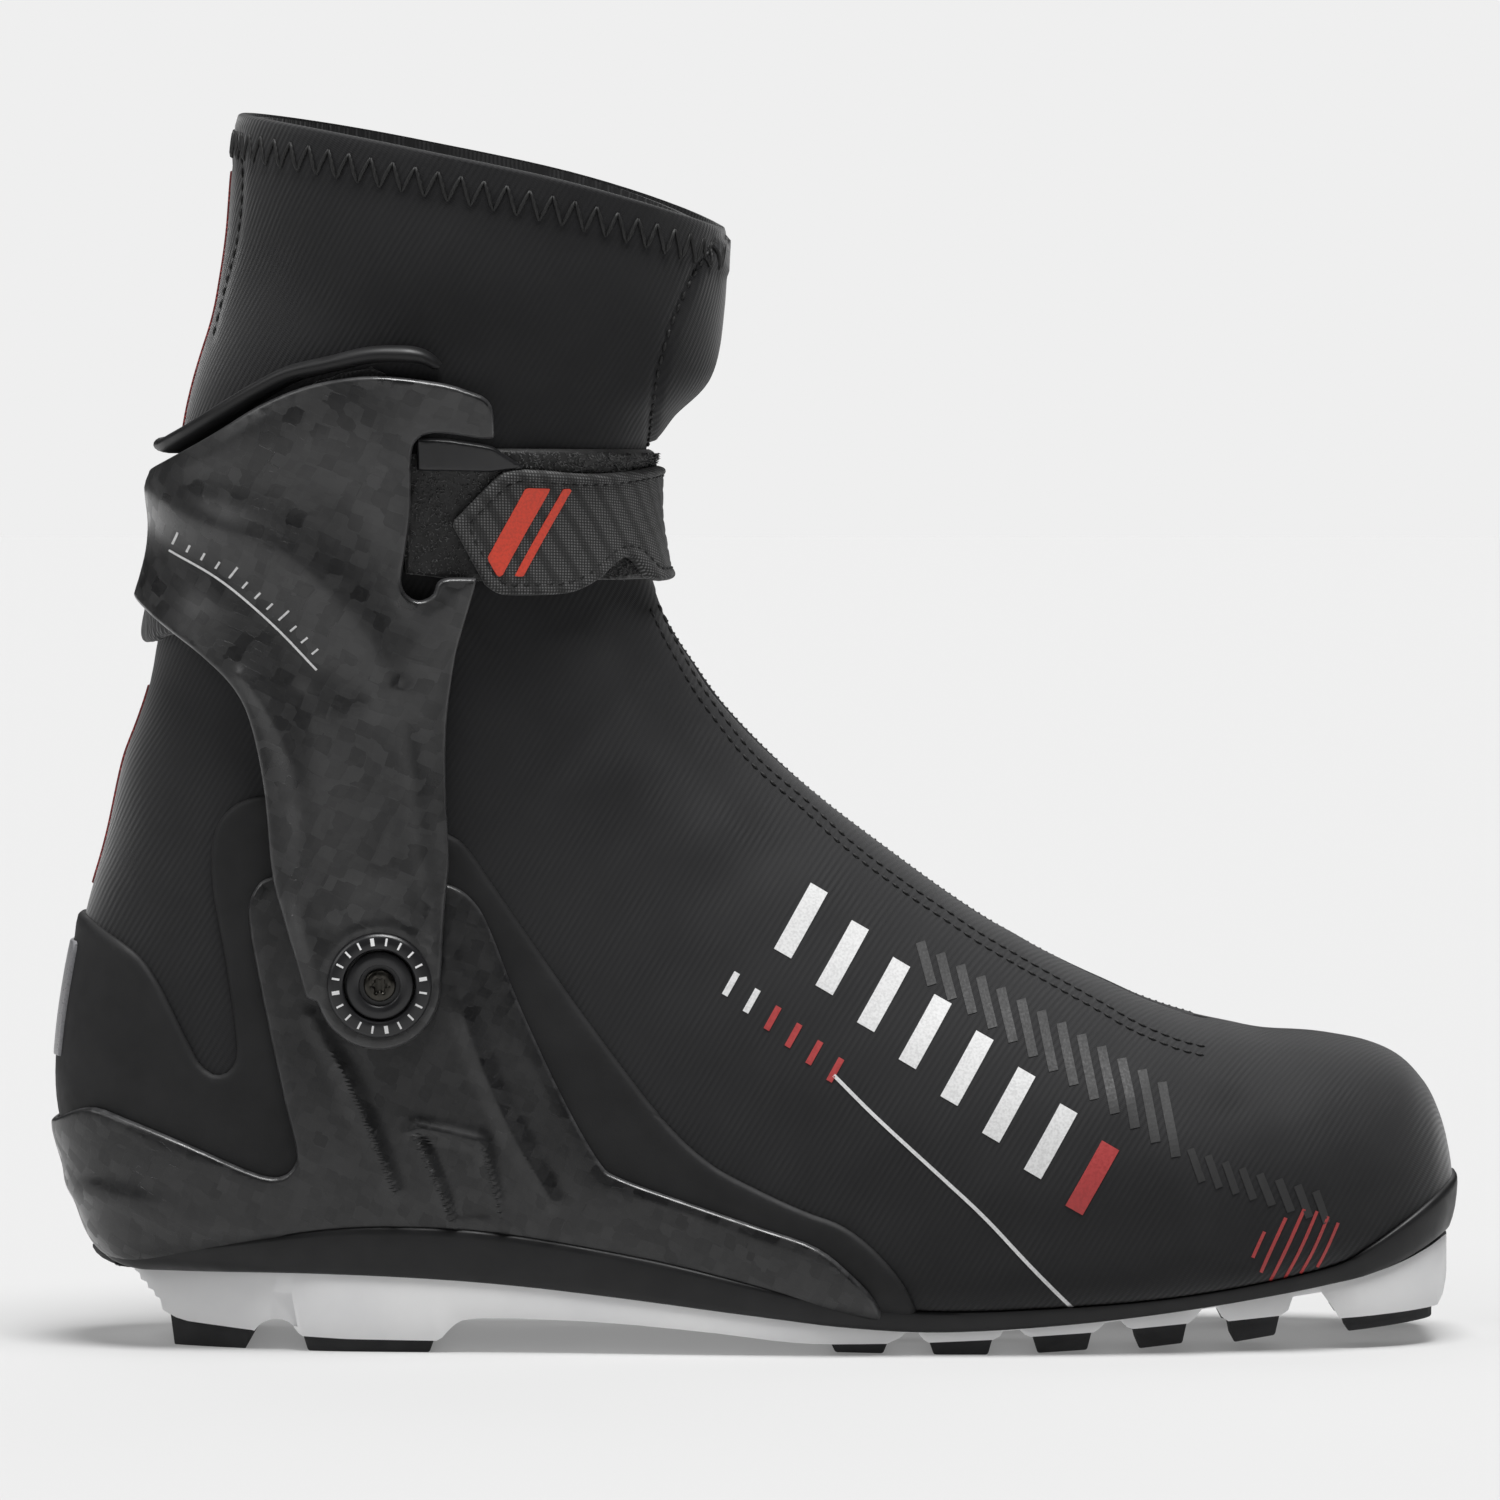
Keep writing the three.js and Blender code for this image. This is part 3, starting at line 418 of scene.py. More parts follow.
def patch(name, material, outline, outer, inner, side=-1, **more):
    """Small skin piece on one side only."""
    u_range, angle_range = reach(outline, side)
    return skin_piece(name, material, outline, outer, inner, u_range, angle_range, **more)


def joined(name, objects):
    """One object from several."""
    with bpy.context.temp_override(active_object=objects[0], selected_editable_objects=objects):
        bpy.ops.object.join()
    objects[0].name = name
    return objects[0]


def ring_mesh(rings, closed=False):
    """Points and faces of a tube through rings of equal point counts, its ends closed."""
    rings = np.asarray(rings, float)
    steps, count = rings.shape[:2]
    faces = []
    for i in range(steps if closed else steps - 1):
        for j in range(count):
            here, up = i * count, ((i + 1) % steps) * count
            k = (j + 1) % count
            faces.append((here + j, here + k, up + k, up + j))
    if not closed:
        faces.append(tuple(range(count))[::-1])
        faces.append(tuple((steps - 1) * count + j for j in range(count)))
    return rings.reshape(-1, 3), faces


def many(name, meshes, material, smooth=True):
    """One object holding several small closed meshes."""
    points, faces, start = [], [], 0
    for mesh_points, mesh_faces in meshes:
        points.append(mesh_points)
        faces += [tuple(start + i for i in face) for face in mesh_faces]
        start += len(mesh_points)
    return new_object(name, np.vstack(points), faces, material, smooth)


def ring_object(name, rings, material, closed=False):
    return sharpen(weld(new_object(name, *ring_mesh(rings, closed), material)))


def frames_along(path):
    """Tangents and two side directions along a 3-D line."""
    tangent = unit(np.gradient(path, axis=0))
    guide = np.where(np.abs(tangent[:, [1]]) < 0.9, [[0, 1, 0]], [[0, 0, 1]])
    side = unit(np.cross(guide, tangent))
    return tangent, side, np.cross(tangent, side)


def tube(path, radius, sides=8):
    """Closed round tube along a line, with a radius at each point."""
    path = np.asarray(path, float)
    radius = np.broadcast_to(radius, len(path))
    _, side, up = frames_along(path)
    turn = np.linspace(0, TAU, sides, endpoint=False)
    rings = [
        p + r * (np.outer(np.cos(turn), s) + np.outer(np.sin(turn), w))
        for p, r, s, w in zip(path, radius, side, up)
    ]
    return ring_mesh(rings)


def resample(path, spacing):
    """Points at even distances along a line."""
    path = np.asarray(path, float)
    length = np.concatenate([[0], np.cumsum(np.linalg.norm(np.diff(path, axis=0), axis=1))])
    steps = max(1, round(length[-1] / spacing))
    at = np.linspace(0, length[-1], steps + 1)
    return np.stack([np.interp(at, length, path[:, k]) for k in range(path.shape[1])], axis=1)


def stitches(path, pitch, radius, share=0.72):
    """Thread stitches along a line, each a short tapered tube whose ends dip into the cloth."""
    made = []
    corners = resample(path, pitch)
    profile = np.array([0.35, 0.85, 1, 0.85, 0.35])
    dip = np.array([-0.9, 0.1, 0.4, 0.1, -0.9])
    for a, b in zip(corners[:-1], corners[1:]):
        t = 0.5 + share * (np.linspace(0, 1, 5)[:, None] - 0.5)
        line = a + (b - a) * t
        line[:, 1] += np.sign((a + b)[1]) * dip * radius
        made.append(tube(line, radius * profile, 6))
    return made


def smooth_noise(points, size, seed):
    """Soft bumps about 1 high over side-view points, about size millimetres across."""
    pick = np.random.default_rng(seed)
    total = np.zeros(len(points))
    for _ in range(7):
        turn, phase = pick.uniform(0, TAU), pick.uniform(0, TAU)
        wave = TAU / (size * pick.uniform(0.7, 1.5))
        total += np.sin((points[:, 0] * math.cos(turn) + points[:, 1] * math.sin(turn)) * wave + phase)
    return total / 3.5


def smooth_step(value, low, high):
    t = np.clip((value - low) / (high - low), 0, 1)
    return t * t * (3 - 2 * t)


def finish_piece(obj, body, slot, *nodes):
    """Rides a piece on its body, or bakes its place into the mesh when body is None."""
    if body:
        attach(obj, body)
    else:
        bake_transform(obj)
    if nodes:
        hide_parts(*nodes)
    return obj


# ------------------------------------------------------------------ materials
class Finish:
    """A material's node tree, with short names for the nodes the boot needs."""

    def __init__(self, name, color, roughness, **sockets):
        self.material = bpy.data.materials.new(name)
        self.material.use_nodes = True
        self.tree = self.material.node_tree
        self.shader = self.tree.nodes["Principled BSDF"]
        self.set("Base Color", (*color, 1))
        self.set("Roughness", roughness)
        for socket, value in sockets.items():
            self.set(socket.replace("_", " "), value)

    def set(self, socket, value):
        if isinstance(value, bpy.types.NodeSocket):
            self.tree.links.new(value, self.shader.inputs[socket])
        else:
            self.shader.inputs[socket].default_value = value

    def add(self, kind, inputs=(), **settings):
        node = self.tree.nodes.new(kind)
        for key, value in settings.items():
            setattr(node, key, value)
        for key, value in dict(inputs).items():
            if isinstance(value, bpy.types.NodeSocket):
                self.tree.links.new(value, node.inputs[key])
            else:
                node.inputs[key].default_value = value
        return node

    def cloth(self, turn=0.0, squeeze=(1, 1, 1)):
        source = self.add("ShaderNodeAttribute", attribute_name="cloth").outputs["Vector"]
        return self.turned(source, turn, squeeze)

    def solid(self, turn=0.0, squeeze=(1, 1, 1)):
        return self.turned(self.add("ShaderNodeTexCoord").outputs["Object"], turn, squeeze)

    def turned(self, source, turn, squeeze):
        inputs = {"Vector": source, "Rotation": (0, 0, math.radians(turn)), "Scale": squeeze}
        return self.add("ShaderNodeMapping", inputs).outputs[0]

    def noise(self, at, size, detail=2.0):
        """Cloudy value, size in millimetres."""
        inputs = {"Vector": at, "Scale": 1 / (size * MM), "Detail": detail}
        return self.add("ShaderNodeTexNoise", inputs).outputs["Fac"]

    def bands(self, at, pitch, distortion=0.0):
        """Even lines across X, pitch in millimetres."""
        wave_length = TAU / 20  # of a band at scale 1
        inputs = {"Vector": at, "Scale": wave_length / (pitch * MM), "Distortion": distortion}
        return self.add("ShaderNodeTexWave", inputs, bands_direction="X").outputs["Fac"]

    def cells(self, at, size, uneven, metric="CHEBYCHEV"):
        """Random colour for each blocky cell."""
        inputs = {"Vector": at, "Scale": 1 / (size * MM), "Randomness": uneven}
        return self.add("ShaderNodeTexVoronoi", inputs, distance=metric).outputs["Color"]

    def level(self, value, low, high, to_low, to_high):
        inputs = {0: value, 1: low, 2: high, 3: to_low, 4: to_high}
        return self.add("ShaderNodeMapRange", inputs).outputs[0]

    def math(self, kind, a, b):
        return self.add("ShaderNodeMath", {0: a, 1: b}, operation=kind).outputs[0]

    def vector(self, kind, a, b):
        return self.add("ShaderNodeVectorMath", {0: a, 1: b}, operation=kind).outputs[0]

    def mix(self, share, a, b):
        """One colour into another; the node keeps its colour sockets after its number sockets."""
        a, b = [(*color, 1) if isinstance(color, tuple) else color for color in (a, b)]
        return self.add("ShaderNodeMix", {0: share, 6: a, 7: b}, data_type="RGBA").outputs[2]

    def edge(self, width):
        """1 at a piece's rim, 0 beyond a width in millimetres."""
        source = self.add("ShaderNodeAttribute", attribute_name="edge").outputs["Fac"]
        return self.level(source, 0.05, width, 1.0, 0.0)

    def bump(self, height, depth, before=None):
        """Relief, depth in millimetres, over another relief if given."""
        inputs = {"Height": height, "Distance": depth * MM, "Strength": 1.0}
        if before:
            inputs["Normal"] = before
        return self.add("ShaderNodeBump", inputs).outputs["Normal"]


def softshell_finish():
    f = Finish("softshell", (0.017, 0.017, 0.018), 0.8, Specular_IOR_Level=0.2,
               Sheen_Weight=0.3, Sheen_Roughness=0.4)
    twill = f.bands(f.cloth(32), 1.25, 0.6)
    threads = f.bands(f.cloth(-58), 0.42, 0.4)
    cloud = f.noise(f.cloth(), 26, 3)
    shade = f.mix(f.level(cloud, 0.3, 0.7, 0.0, 1.0), (0.014, 0.014, 0.015), (0.021, 0.021, 0.022))
    uneven = f.math("MULTIPLY", twill, f.level(f.noise(f.cloth(), 7, 3), 0.3, 0.7, 0.35, 1.0))
    f.set("Base Color", f.mix(f.level(uneven, 0.2, 1, 0, 0.36), shade, (0.028, 0.028, 0.029)))
    f.set("Roughness", f.level(cloud, 0.25, 0.75, 0.66, 0.84))
    f.set("Normal", f.bump(threads, 0.02, f.bump(uneven, 0.075)))
    return f.material


def carbon_finish(name, dark, light, size, roughness, coat):
    """Patchy laid carbon under a satin clear coat, with a lighter rim that is partly bare fibre and partly
    painted highlight.
    """
    f = Finish(name, dark, roughness, Specular_IOR_Level=0.35, Coat_Weight=coat, Coat_Roughness=0.26)
    wobble = f.add("ShaderNodeTexNoise", {"Vector": f.cloth(), "Scale": 1 / (14 * MM), "Detail": 1.0})
    push = f.vector("MULTIPLY", wobble.outputs["Color"], (0.004, 0.004, 0))
    pushed = f.vector("ADD", f.cloth(24), push)
    value = f.add("ShaderNodeSeparateColor", {"Color": f.cells(pushed, size, 0.5)})
    small = f.add("ShaderNodeSeparateColor", {"Color": f.cells(pushed, size * 0.45, 0.6)})
    large, fine = f.math("MULTIPLY", value.outputs[0], 0.75), f.math("MULTIPLY", small.outputs[0], 0.25)
    tow = f.math("ADD", large, fine)
    shade = f.mix(f.level(tow, 0.15, 0.85, 0, 1), dark, light)
    # Painted highlight along with bare fibre: the colour is lighter along the piece's rim, broken up by
    # noise.
    wear_and_highlight = f.math("MULTIPLY", f.edge(0.6), f.level(f.noise(f.cloth(), 3, 3), 0.35, 0.65, 0.3, 1.0))
    f.set("Base Color", f.mix(wear_and_highlight, shade, (0.06, 0.06, 0.062)))
    f.set("Roughness", f.level(value.outputs[1], 0, 1, roughness - 0.14, roughness + 0.18))
    fibre = f.noise(f.cloth(24, (1, 0.12, 1)), 0.5, 1)
    waves = f.bump(f.noise(f.cloth(), 30, 1), 0.25)
    tows = f.bump(small.outputs[1], 0.03, f.bump(value.outputs[2], 0.04, waves))
    f.set("Normal", f.bump(fibre, 0.015, tows))
    return f.material


def moulded_finish(name, color, roughness, grain=0.5, depth=0.02, **sockets):
    """Moulded plastic or rubber with a fine grain."""
    f = Finish(name, color, roughness, **sockets)
    lighter = tuple(min(1, c * 1.5 + 0.002) for c in color)
    cloud = f.noise(f.solid(), 14, 3)
    f.set("Base Color", f.mix(f.level(cloud, 0.35, 0.7, 0, 0.6), color, lighter))
    f.set("Roughness", f.level(f.noise(f.solid(), 5, 2), 0.3, 0.7, roughness - 0.06, roughness + 0.07))
    f.set("Normal", f.bump(f.noise(f.solid(), grain, 2), depth))
    return f.material


def white_finish():
    f = Finish("white_tpu", (0.84, 0.84, 0.84), 0.42, Specular_IOR_Level=0.45)
    smudge = f.noise(f.solid(), 22, 4)
    f.set("Base Color", f.mix(f.level(smudge, 0.35, 0.75, 0, 1), (0.88, 0.88, 0.88), (0.78, 0.78, 0.79)))
    f.set("Roughness", f.level(f.noise(f.solid(), 6, 2), 0.3, 0.7, 0.36, 0.5))
    f.set("Normal", f.bump(f.noise(f.solid(), 0.6, 2), 0.015))
    return f.material


def knit_finish():
    f = Finish("knit_lining", (0.02, 0.02, 0.021), 0.95, Sheen_Weight=0.3, Sheen_Roughness=0.5)
    rows = f.bands(f.solid(0), 0.9, 1.2)
    columns = f.bands(f.solid(90), 1.1, 1.2)
    loops = f.math("MULTIPLY", rows, columns)
    f.set("Base Color", f.mix(loops, (0.012, 0.012, 0.013), (0.04, 0.04, 0.042)))
    f.set("Roughness", f.level(loops, 0, 1, 0.98, 0.85))
    f.set("Normal", f.bump(loops, 0.15))
    return f.material


def webbing_finish(name, dark, light, pitch, turn=0):
    """Woven fabric: over-and-under threads with a loose colour."""
    f = Finish(name, dark, 0.8, Sheen_Weight=0.15)
    warp = f.bands(f.cloth(turn), pitch, 0.5)
    weft = f.bands(f.cloth(turn + 90), pitch, 0.5)
    weave = f.math("MULTIPLY", warp, weft)
    ribs = f.bands(f.cloth(-28), 4.4, 1.5)
    shade = f.mix(f.level(weave, 0, 0.8, 0, 1), dark, light)
    f.set("Base Color", f.mix(f.level(ribs, 0.5, 0.9, 0, 0.75), shade, dark))
    f.set("Roughness", f.level(weave, 0, 1, 0.85, 0.62))
    f.set("Normal", f.bump(weave, 0.12, f.bump(ribs, 0.1)))
    return f.material


def metal_finish(name, color, roughness):
    f = Finish(name, color, roughness, Metallic=1.0)
    scratches = f.noise(f.solid(20, (1, 1, 0.05)), 0.6, 3)
    f.set("Roughness", f.level(scratches, 0.3, 0.7, roughness - 0.08, roughness + 0.15))
    f.set("Base Color", f.mix(f.noise(f.solid(), 2, 3), color, tuple(c * 0.6 for c in color)))
    f.set("Normal", f.bump(scratches, 0.01))
    return f.material


def print_finish(name, color, roughness=0.55):
    """Screen print, a little worn."""
    f = Finish(name, color, roughness)
    grains = f.noise(f.solid(), 0.55, 2)
    wear_and_highlight = tuple(c * 0.66 for c in color)
    f.set("Base Color", f.mix(f.level(grains, 0.35, 0.6, 0.5, 0), color, wear_and_highlight))
    f.set("Roughness", f.level(grains, 0.3, 0.7, roughness - 0.1, roughness + 0.1))
    f.set("Normal", f.bump(grains, 0.03))
    return f.material


def thread_finish():
    f = Finish("black_thread", (0.006, 0.006, 0.006), 0.6, Specular_IOR_Level=0.5)
    twist = f.bands(f.solid(35), 0.4)
    f.set("Base Color", f.mix(twist, (0.004, 0.004, 0.004), (0.014, 0.014, 0.014)))
    f.set("Normal", f.bump(twist, 0.05))
    return f.material


SOFTSHELL = softshell_finish()
CARBON = carbon_finish("carbon_cuff", (0.009, 0.009, 0.0095), (0.029, 0.029, 0.0295), 3.2, 0.40, 0.65)
CHASSIS_CARBON = carbon_finish(
    "carbon_chassis", (0.005, 0.005, 0.0055), (0.016, 0.016, 0.0165), 2.6, 0.42, 0.45)
OVERLAY_TPU = moulded_finish("black_tpu", (0.014, 0.014, 0.0145), 0.6, 0.35, 0.02, Specular_IOR_Level=0.25)
RUBBER = moulded_finish("black_rubber", (0.009, 0.009, 0.0095), 0.45, 0.4, 0.015, Specular_IOR_Level=0.35)
TREAD = moulded_finish("tread_rubber", (0.02, 0.02, 0.021), 0.85, 0.7, 0.05)
PLASTIC = moulded_finish("black_plastic", (0.010, 0.010, 0.011), 0.34, 0.3, 0.008)
BOARD = moulded_finish("stiffener_board", (0.16, 0.13, 0.10), 0.9, 1.2, 0.1)
WHITE = white_finish()
KNIT = knit_finish()
WEBBING = webbing_finish("strap_fabric", (0.014, 0.014, 0.014), (0.15, 0.15, 0.15), 0.6)
RED_TAPE = webbing_finish("red_tape", (0.14, 0.012, 0.012), (0.34, 0.035, 0.03), 0.8, 45)
STEEL = metal_finish("steel", (0.5, 0.49, 0.47), 0.3)
SCREW_STEEL = metal_finish("dark_screw", (0.07, 0.066, 0.058), 0.28)
THREAD = thread_finish()
WHITE_PRINT = print_finish("white_print", (0.72, 0.72, 0.72))
RED_PRINT = print_finish("red_print", (0.42, 0.045, 0.045))
ORANGE_PRINT = print_finish("orange_print", (0.80, 0.07, 0.035))
GREY_PRINT = print_finish("grey_print", (0.025, 0.025, 0.0255), 0.62)
REFLECTIVE = print_finish("reflective_film", (0.22, 0.22, 0.23), 0.35)
PILE = moulded_finish("loop_pile", (0.005, 0.005, 0.005), 0.55, 0.5, 0.1, Sheen_Weight=0.3)
FIBRE = moulded_finish("pile_fibre", (0.13, 0.13, 0.13), 0.4)
WHITE_PLASTIC = moulded_finish("white_marks", (0.75, 0.75, 0.75), 0.45)
ZIP_TAPE = moulded_finish("zip_tape", (0.013, 0.013, 0.014), 0.6, 0.5, 0.03)

# ------------------------------------------------------------------ the sole's lines
RAND_TOP = spline([
    (-142, 20.6), (-134, 19.8), (-120, 21), (-90, 25.6), (-70, 26.2), (-50, 24.6), (-20, 19.4),
    (10, 12.4), (33, 9.3), (60, 9.8), (90, 12), (118, 17), (127, 21), (136, 26.6), (142, 30.6), (152, 37.6),
], 80)
RAND_BOTTOM = spline([
    (-142, 15.2), (-120, 15.8), (-90, 16.3), (-60, 15), (-30, 12), (0, 8.2), (20, 5.7), (40, 4.8),
    (70, 6.7), (100, 10.3), (130, 16), (152, 25.5),
], 60)
HEEL_END, TOE_END = -135.6, 147.2  # skin ends of the sole
RAND_PROUD, HEEL_PROUD = 1.2, 4.4  # how far the rand stands out of the skin at the toe and the heel


def height_at(line, x):
    return np.interp(x, line[:, 0], line[:, 1])


def sole_outline(steps):
    """Plan outline of the sole and its outward directions, round from the heel by the lateral side."""
    turn = np.linspace(0, math.pi, steps + 1)
    x = HEEL_END + (TOE_END - HEEL_END) * (1 - np.cos(turn)) / 2
    u, angle = find_place(x, height_at(RAND_TOP, x))
    lateral = skin(u, angle)[:, 1]
    medial = skin(u, TAU - angle)[:, 1]
    for end in (0, -1):
        lateral[end] = medial[end] = (lateral[end] + medial[end]) / 2
    loop = join(np.stack([x, lateral], 1), np.stack([x, medial], 1)[-2:0:-1])
    ahead = np.roll(loop, -1, axis=0) - np.roll(loop, 1, axis=0)
    out = unit(np.stack([ahead[:, 1], -ahead[:, 0]], axis=1))
    heel = 1 - smooth_step(loop[:, 0], 0, 36)
    return loop + out * (RAND_PROUD + (HEEL_PROUD - RAND_PROUD) * heel)[:, None], out


def tuck_under(x):
    """How far the rand's foot lies inside its top edge: much at the heel, little elsewhere."""
    return 1.0 + 6.0 * (1 - smooth_step(x, -138, -84)) + 0.8 * smooth_step(x, 120, 146)


def make_rand():
    loop, out = sole_outline(120)
    x = loop[:, 0]
    top, bottom = height_at(RAND_TOP, x), height_at(RAND_BOTTOM, x)
    tuck = tuck_under(x)
    profile = [  # distance in from the outline, share of the tuck, height share
        (7, 1, -0.02), (7, 0, 0.86), (5.6, 0, 0.985), (1.1, 0, 1.0), (0.45, 0, 0.985), (0.08, 0, 0.93),
        (0, 0.02, 0.82), (0, 0.12, 0.6), (0, 0.3, 0.38), (0, 0.58, 0.18), (0, 0.88, 0.04), (0.6, 1, -0.02),
    ]
    rings = []
    for inset, share, rise in profile:
        spot = loop - out * (inset + share * tuck)[:, None]
        rings.append(np.column_stack([spot, bottom + (top - bottom) * rise]))
    rings = np.swapaxes(np.array(rings), 0, 1)
    rand = new_object("rubber_rand", *ring_mesh(rings, closed=True), RUBBER)
    finish_piece(sharpen(weld(rand), 50), BOOT, "black_tpu", "sole_rand")


NOTCH_X = -100  # middle of the heel's round notch
# Side outline of the white sole, heel to toe, along its bottom.
OUTSOLE_BOTTOM = join(
    [(-131.6, 15.6), (-130.9, 14.6), (-129.6, 14.3), (-129.3, 13.2), (-127.9, 12.8), (-127.6, 11.6)],
    [(-126.4, 11.2), (-126, 10), (-125, 9.6), (-124.4, 7.2)],
    [(-121.5, 5.8), (-119, 5.2), (-112, 4.6), (-105.3, 4)],
    arc((NOTCH_X, 1.2), 5.3, 150, 30, 8),
    [(-94.4, 3.1), (-85, 2.7), (-66.4, 2.5)],
    spline([(-65.2, 3.2), (-63.4, 5.2), (-61, 6.8), (-57, 7.3)], 6),
    spline([(-50, 7.3), (-30, 6.5), (-10, 4.8), (5, 3), (14, 2.4), (27, 2.4)], 12),
    [(29.6, 3.6), (31, 4.7), (33.4, 4.7), (34.6, 3.2), (35.6, 2.6), (49, 3.2), (50.4, 4), (51, 5)],
    [(54.4, 5.3), (55.6, 4.2), (56.8, 3.8), (69.8, 4.6), (71, 5.4), (72.2, 6.6), (75.4, 7)],
    [(76.8, 5.6), (78, 5.2), (89.6, 6.1), (91, 7.2), (92.4, 9), (95.4, 9.4), (96.6, 7.4), (98, 6.4)],
    [(108.8, 7.3), (110.6, 8.4), (111.6, 11.2), (117.6, 12), (119.4, 9.6), (121.6, 6.4)],
    [(143, 7.9), (144.4, 10), (146, 15), (147.3, 22.4)],
)
HEEL_RECESS = [(-104.6, 5), (-95.4, 5), (-96.8, 12.2), (-103.2, 12.2)]  # above the heel notch, on each side
RECESS_REACH, RECESS_DEPTH = 8, 1.2
SOLE_STEPS = 90  # of the plan outline, on each side
WHITE_INSET = 0.55  # white sole inside the rand's foot
TREAD_INSET = 1.6
GROOVE_HALF, GROOVE_CENTRES, GROOVE_RANGE, GROOVE_TOP = 3.6, (-8.0, 12.0), (4.0, 116.0), 6.0
BAR_NOTCH = {"x": (125.5, 138.5), "y": (-6.0, 20.0), "top": 15.0}


def prism(outline, axis, low, high):
    """Points and faces of an outline pushed along Y (side view) or Z (plan)."""
    outline = np.asarray(outline, float)
    rings = []
    for level in (low, high):
        flat = np.full(len(outline), level)
        order = (outline[:, 0], flat, outline[:, 1]) if axis == "y" else (outline[:, 0], outline[:, 1], flat)
        rings.append(np.stack(order, axis=1))
    return ring_mesh(np.array(rings))


def solid_object(points, faces, material=WHITE):
    obj = new_object("cutter", points, faces, material, smooth=False)
    return weld(obj, 1e-7)


def combine(obj, other, operation):
    """Exact boolean of one object with another, which is used up."""
    modifier = obj.modifiers.new("cut", "BOOLEAN")
    modifier.operation, modifier.object, modifier.solver = operation, other, "EXACT"
    apply_modifiers(obj)
    bpy.data.objects.remove(other)
    return obj


def apply_modifiers(obj):
    with bpy.context.temp_override(object=obj, active_object=obj):
        for modifier in list(obj.modifiers):
            bpy.ops.object.modifier_apply(modifier=modifier.name)
    return obj


def bevelled(obj, width, segments=2, degrees=35):
    """Rounds the sharp edges, width in millimetres."""
    modifier = obj.modifiers.new("round", "BEVEL")
    modifier.width, modifier.segments = width * MM, segments
    modifier.limit_method, modifier.angle_limit = "ANGLE", math.radians(degrees)
    modifier.use_clamp_overlap = True
    modifier.harden_normals = False
    apply_modifiers(obj)
    obj.data.shade_smooth()
    return sharpen(obj, 40)


def plan_inside(inset, steps=SOLE_STEPS):
    """Closed solid of the sole's plan, with walls that follow the rand's foot."""
    loop, out = sole_outline(steps)
    foot = loop - out * (tuck_under(loop[:, 0]) + inset)[:, None]
    return solid_object(*prism(foot, "z", -10, 60))


def block(low, high):
    corners = [(low[0], low[2]), (high[0], low[2]), (high[0], high[2]), (low[0], high[2])]
    return solid_object(*prism(corners, "y", low[1], high[1]))


def cut_channels(obj):
    """The binding's two grooves and the notch round the toe bar."""
    for centre in GROOVE_CENTRES:
        low = (GROOVE_RANGE[0], centre - GROOVE_HALF, -10)
        combine(obj, block(low, (GROOVE_RANGE[1], centre + GROOVE_HALF, GROOVE_TOP)), "DIFFERENCE")
    x, y = BAR_NOTCH["x"], BAR_NOTCH["y"]
    return combine(obj, block((x[0], y[0], -10), (x[1], y[1], BAR_NOTCH["top"])), "DIFFERENCE")


def make_outsole():
    start, end = OUTSOLE_BOTTOM[0, 0], OUTSOLE_BOTTOM[-1, 0]
    inside = RAND_BOTTOM[(RAND_BOTTOM[:, 0] > start + 0.5) & (RAND_BOTTOM[:, 0] < end - 0.5)]
    outline = join(OUTSOLE_BOTTOM, (inside + [0, 0.15])[::-1])
    sole = solid_object(*prism(outline, "y", -80, 80))
    combine(sole, plan_inside(WHITE_INSET), "INTERSECT")
    loop, _ = sole_outline(SOLE_STEPS)
    for side, flank in ((-1, loop[:SOLE_STEPS + 1]), (1, loop[:SOLE_STEPS:-1])):
        recess = solid_object(*prism(HEEL_RECESS, "y", 0, RECESS_REACH))
        width = abs(np.interp(NOTCH_X, flank[:, 0], flank[:, 1]))
        shift = side * (width - tuck_under(NOTCH_X) - RECESS_DEPTH) - (RECESS_REACH if side < 0 else 0)
        recess.data.transform(Matrix.Translation((0, shift * MM, 0)))
        combine(sole, recess, "DIFFERENCE")
    cut_channels(sole)
    sole.name = "white_outsole"
    finish_piece(bevelled(sole, 0.35), BOOT, "white_tpu", "outsole")


# Rubber treads: node, x range, bottom heights at its ends, top heights at its ends.
TREADS = [
    ("heel_tread_rear", (-123.2, -105.2), (0, 0), (7.2, 4.2), False),
    ("heel_tread_front", (-94.6, -66.6), (0, 0), (3.2, 2.8), False),
    ("tread_1", (15, 27.5), (0.6, 0.3), (2.7, 2.7), True),
    ("tread_2", (35.4, 49.2), (0, 0), (2.9, 3.5), True),
    ("tread_3", (56.9, 69.8), (0.3, 0.9), (4.1, 4.9), True),
    ("tread_4", (78, 89.7), (1, 1.9), (5.5, 6.4), True),
    ("tread_5", (97.9, 109.2), (1.9, 3.2), (6.7, 7.6), True),
    ("toe_tread", (122, 142.8), (3.6, 5.4), (6.7, 8.1), True),
]
TREAD_TAPER = 1.3
TREAD_GUTTER = {"lateral": -12.4, "medial": 20.6}


def make_treads():
    for node, x, bottom, top, split in TREADS:
        outline = [(x[0] + TREAD_TAPER, bottom[0]), (x[1] - TREAD_TAPER, bottom[1]),
                   (x[1] - 0.3, top[1]), (x[0] + 0.3, top[0])]
        if split:
            for side, gutter in TREAD_GUTTER.items():
                low, high = (-80, gutter) if side == "lateral" else (gutter, 80)
                make_tread(f"{node}_{side}", outline, low, high)
        else:
            make_tread(node, outline, -80, 80)


def make_tread(node, outline, low, high):
    tread = solid_object(*prism(outline, "y", low, high), TREAD)
    combine(tread, plan_inside(TREAD_INSET, 60), "INTERSECT")
    tread.name = "rubber_" + node
    finish_piece(bevelled(tread, 0.45), BOOT, "tread_rubber", node)


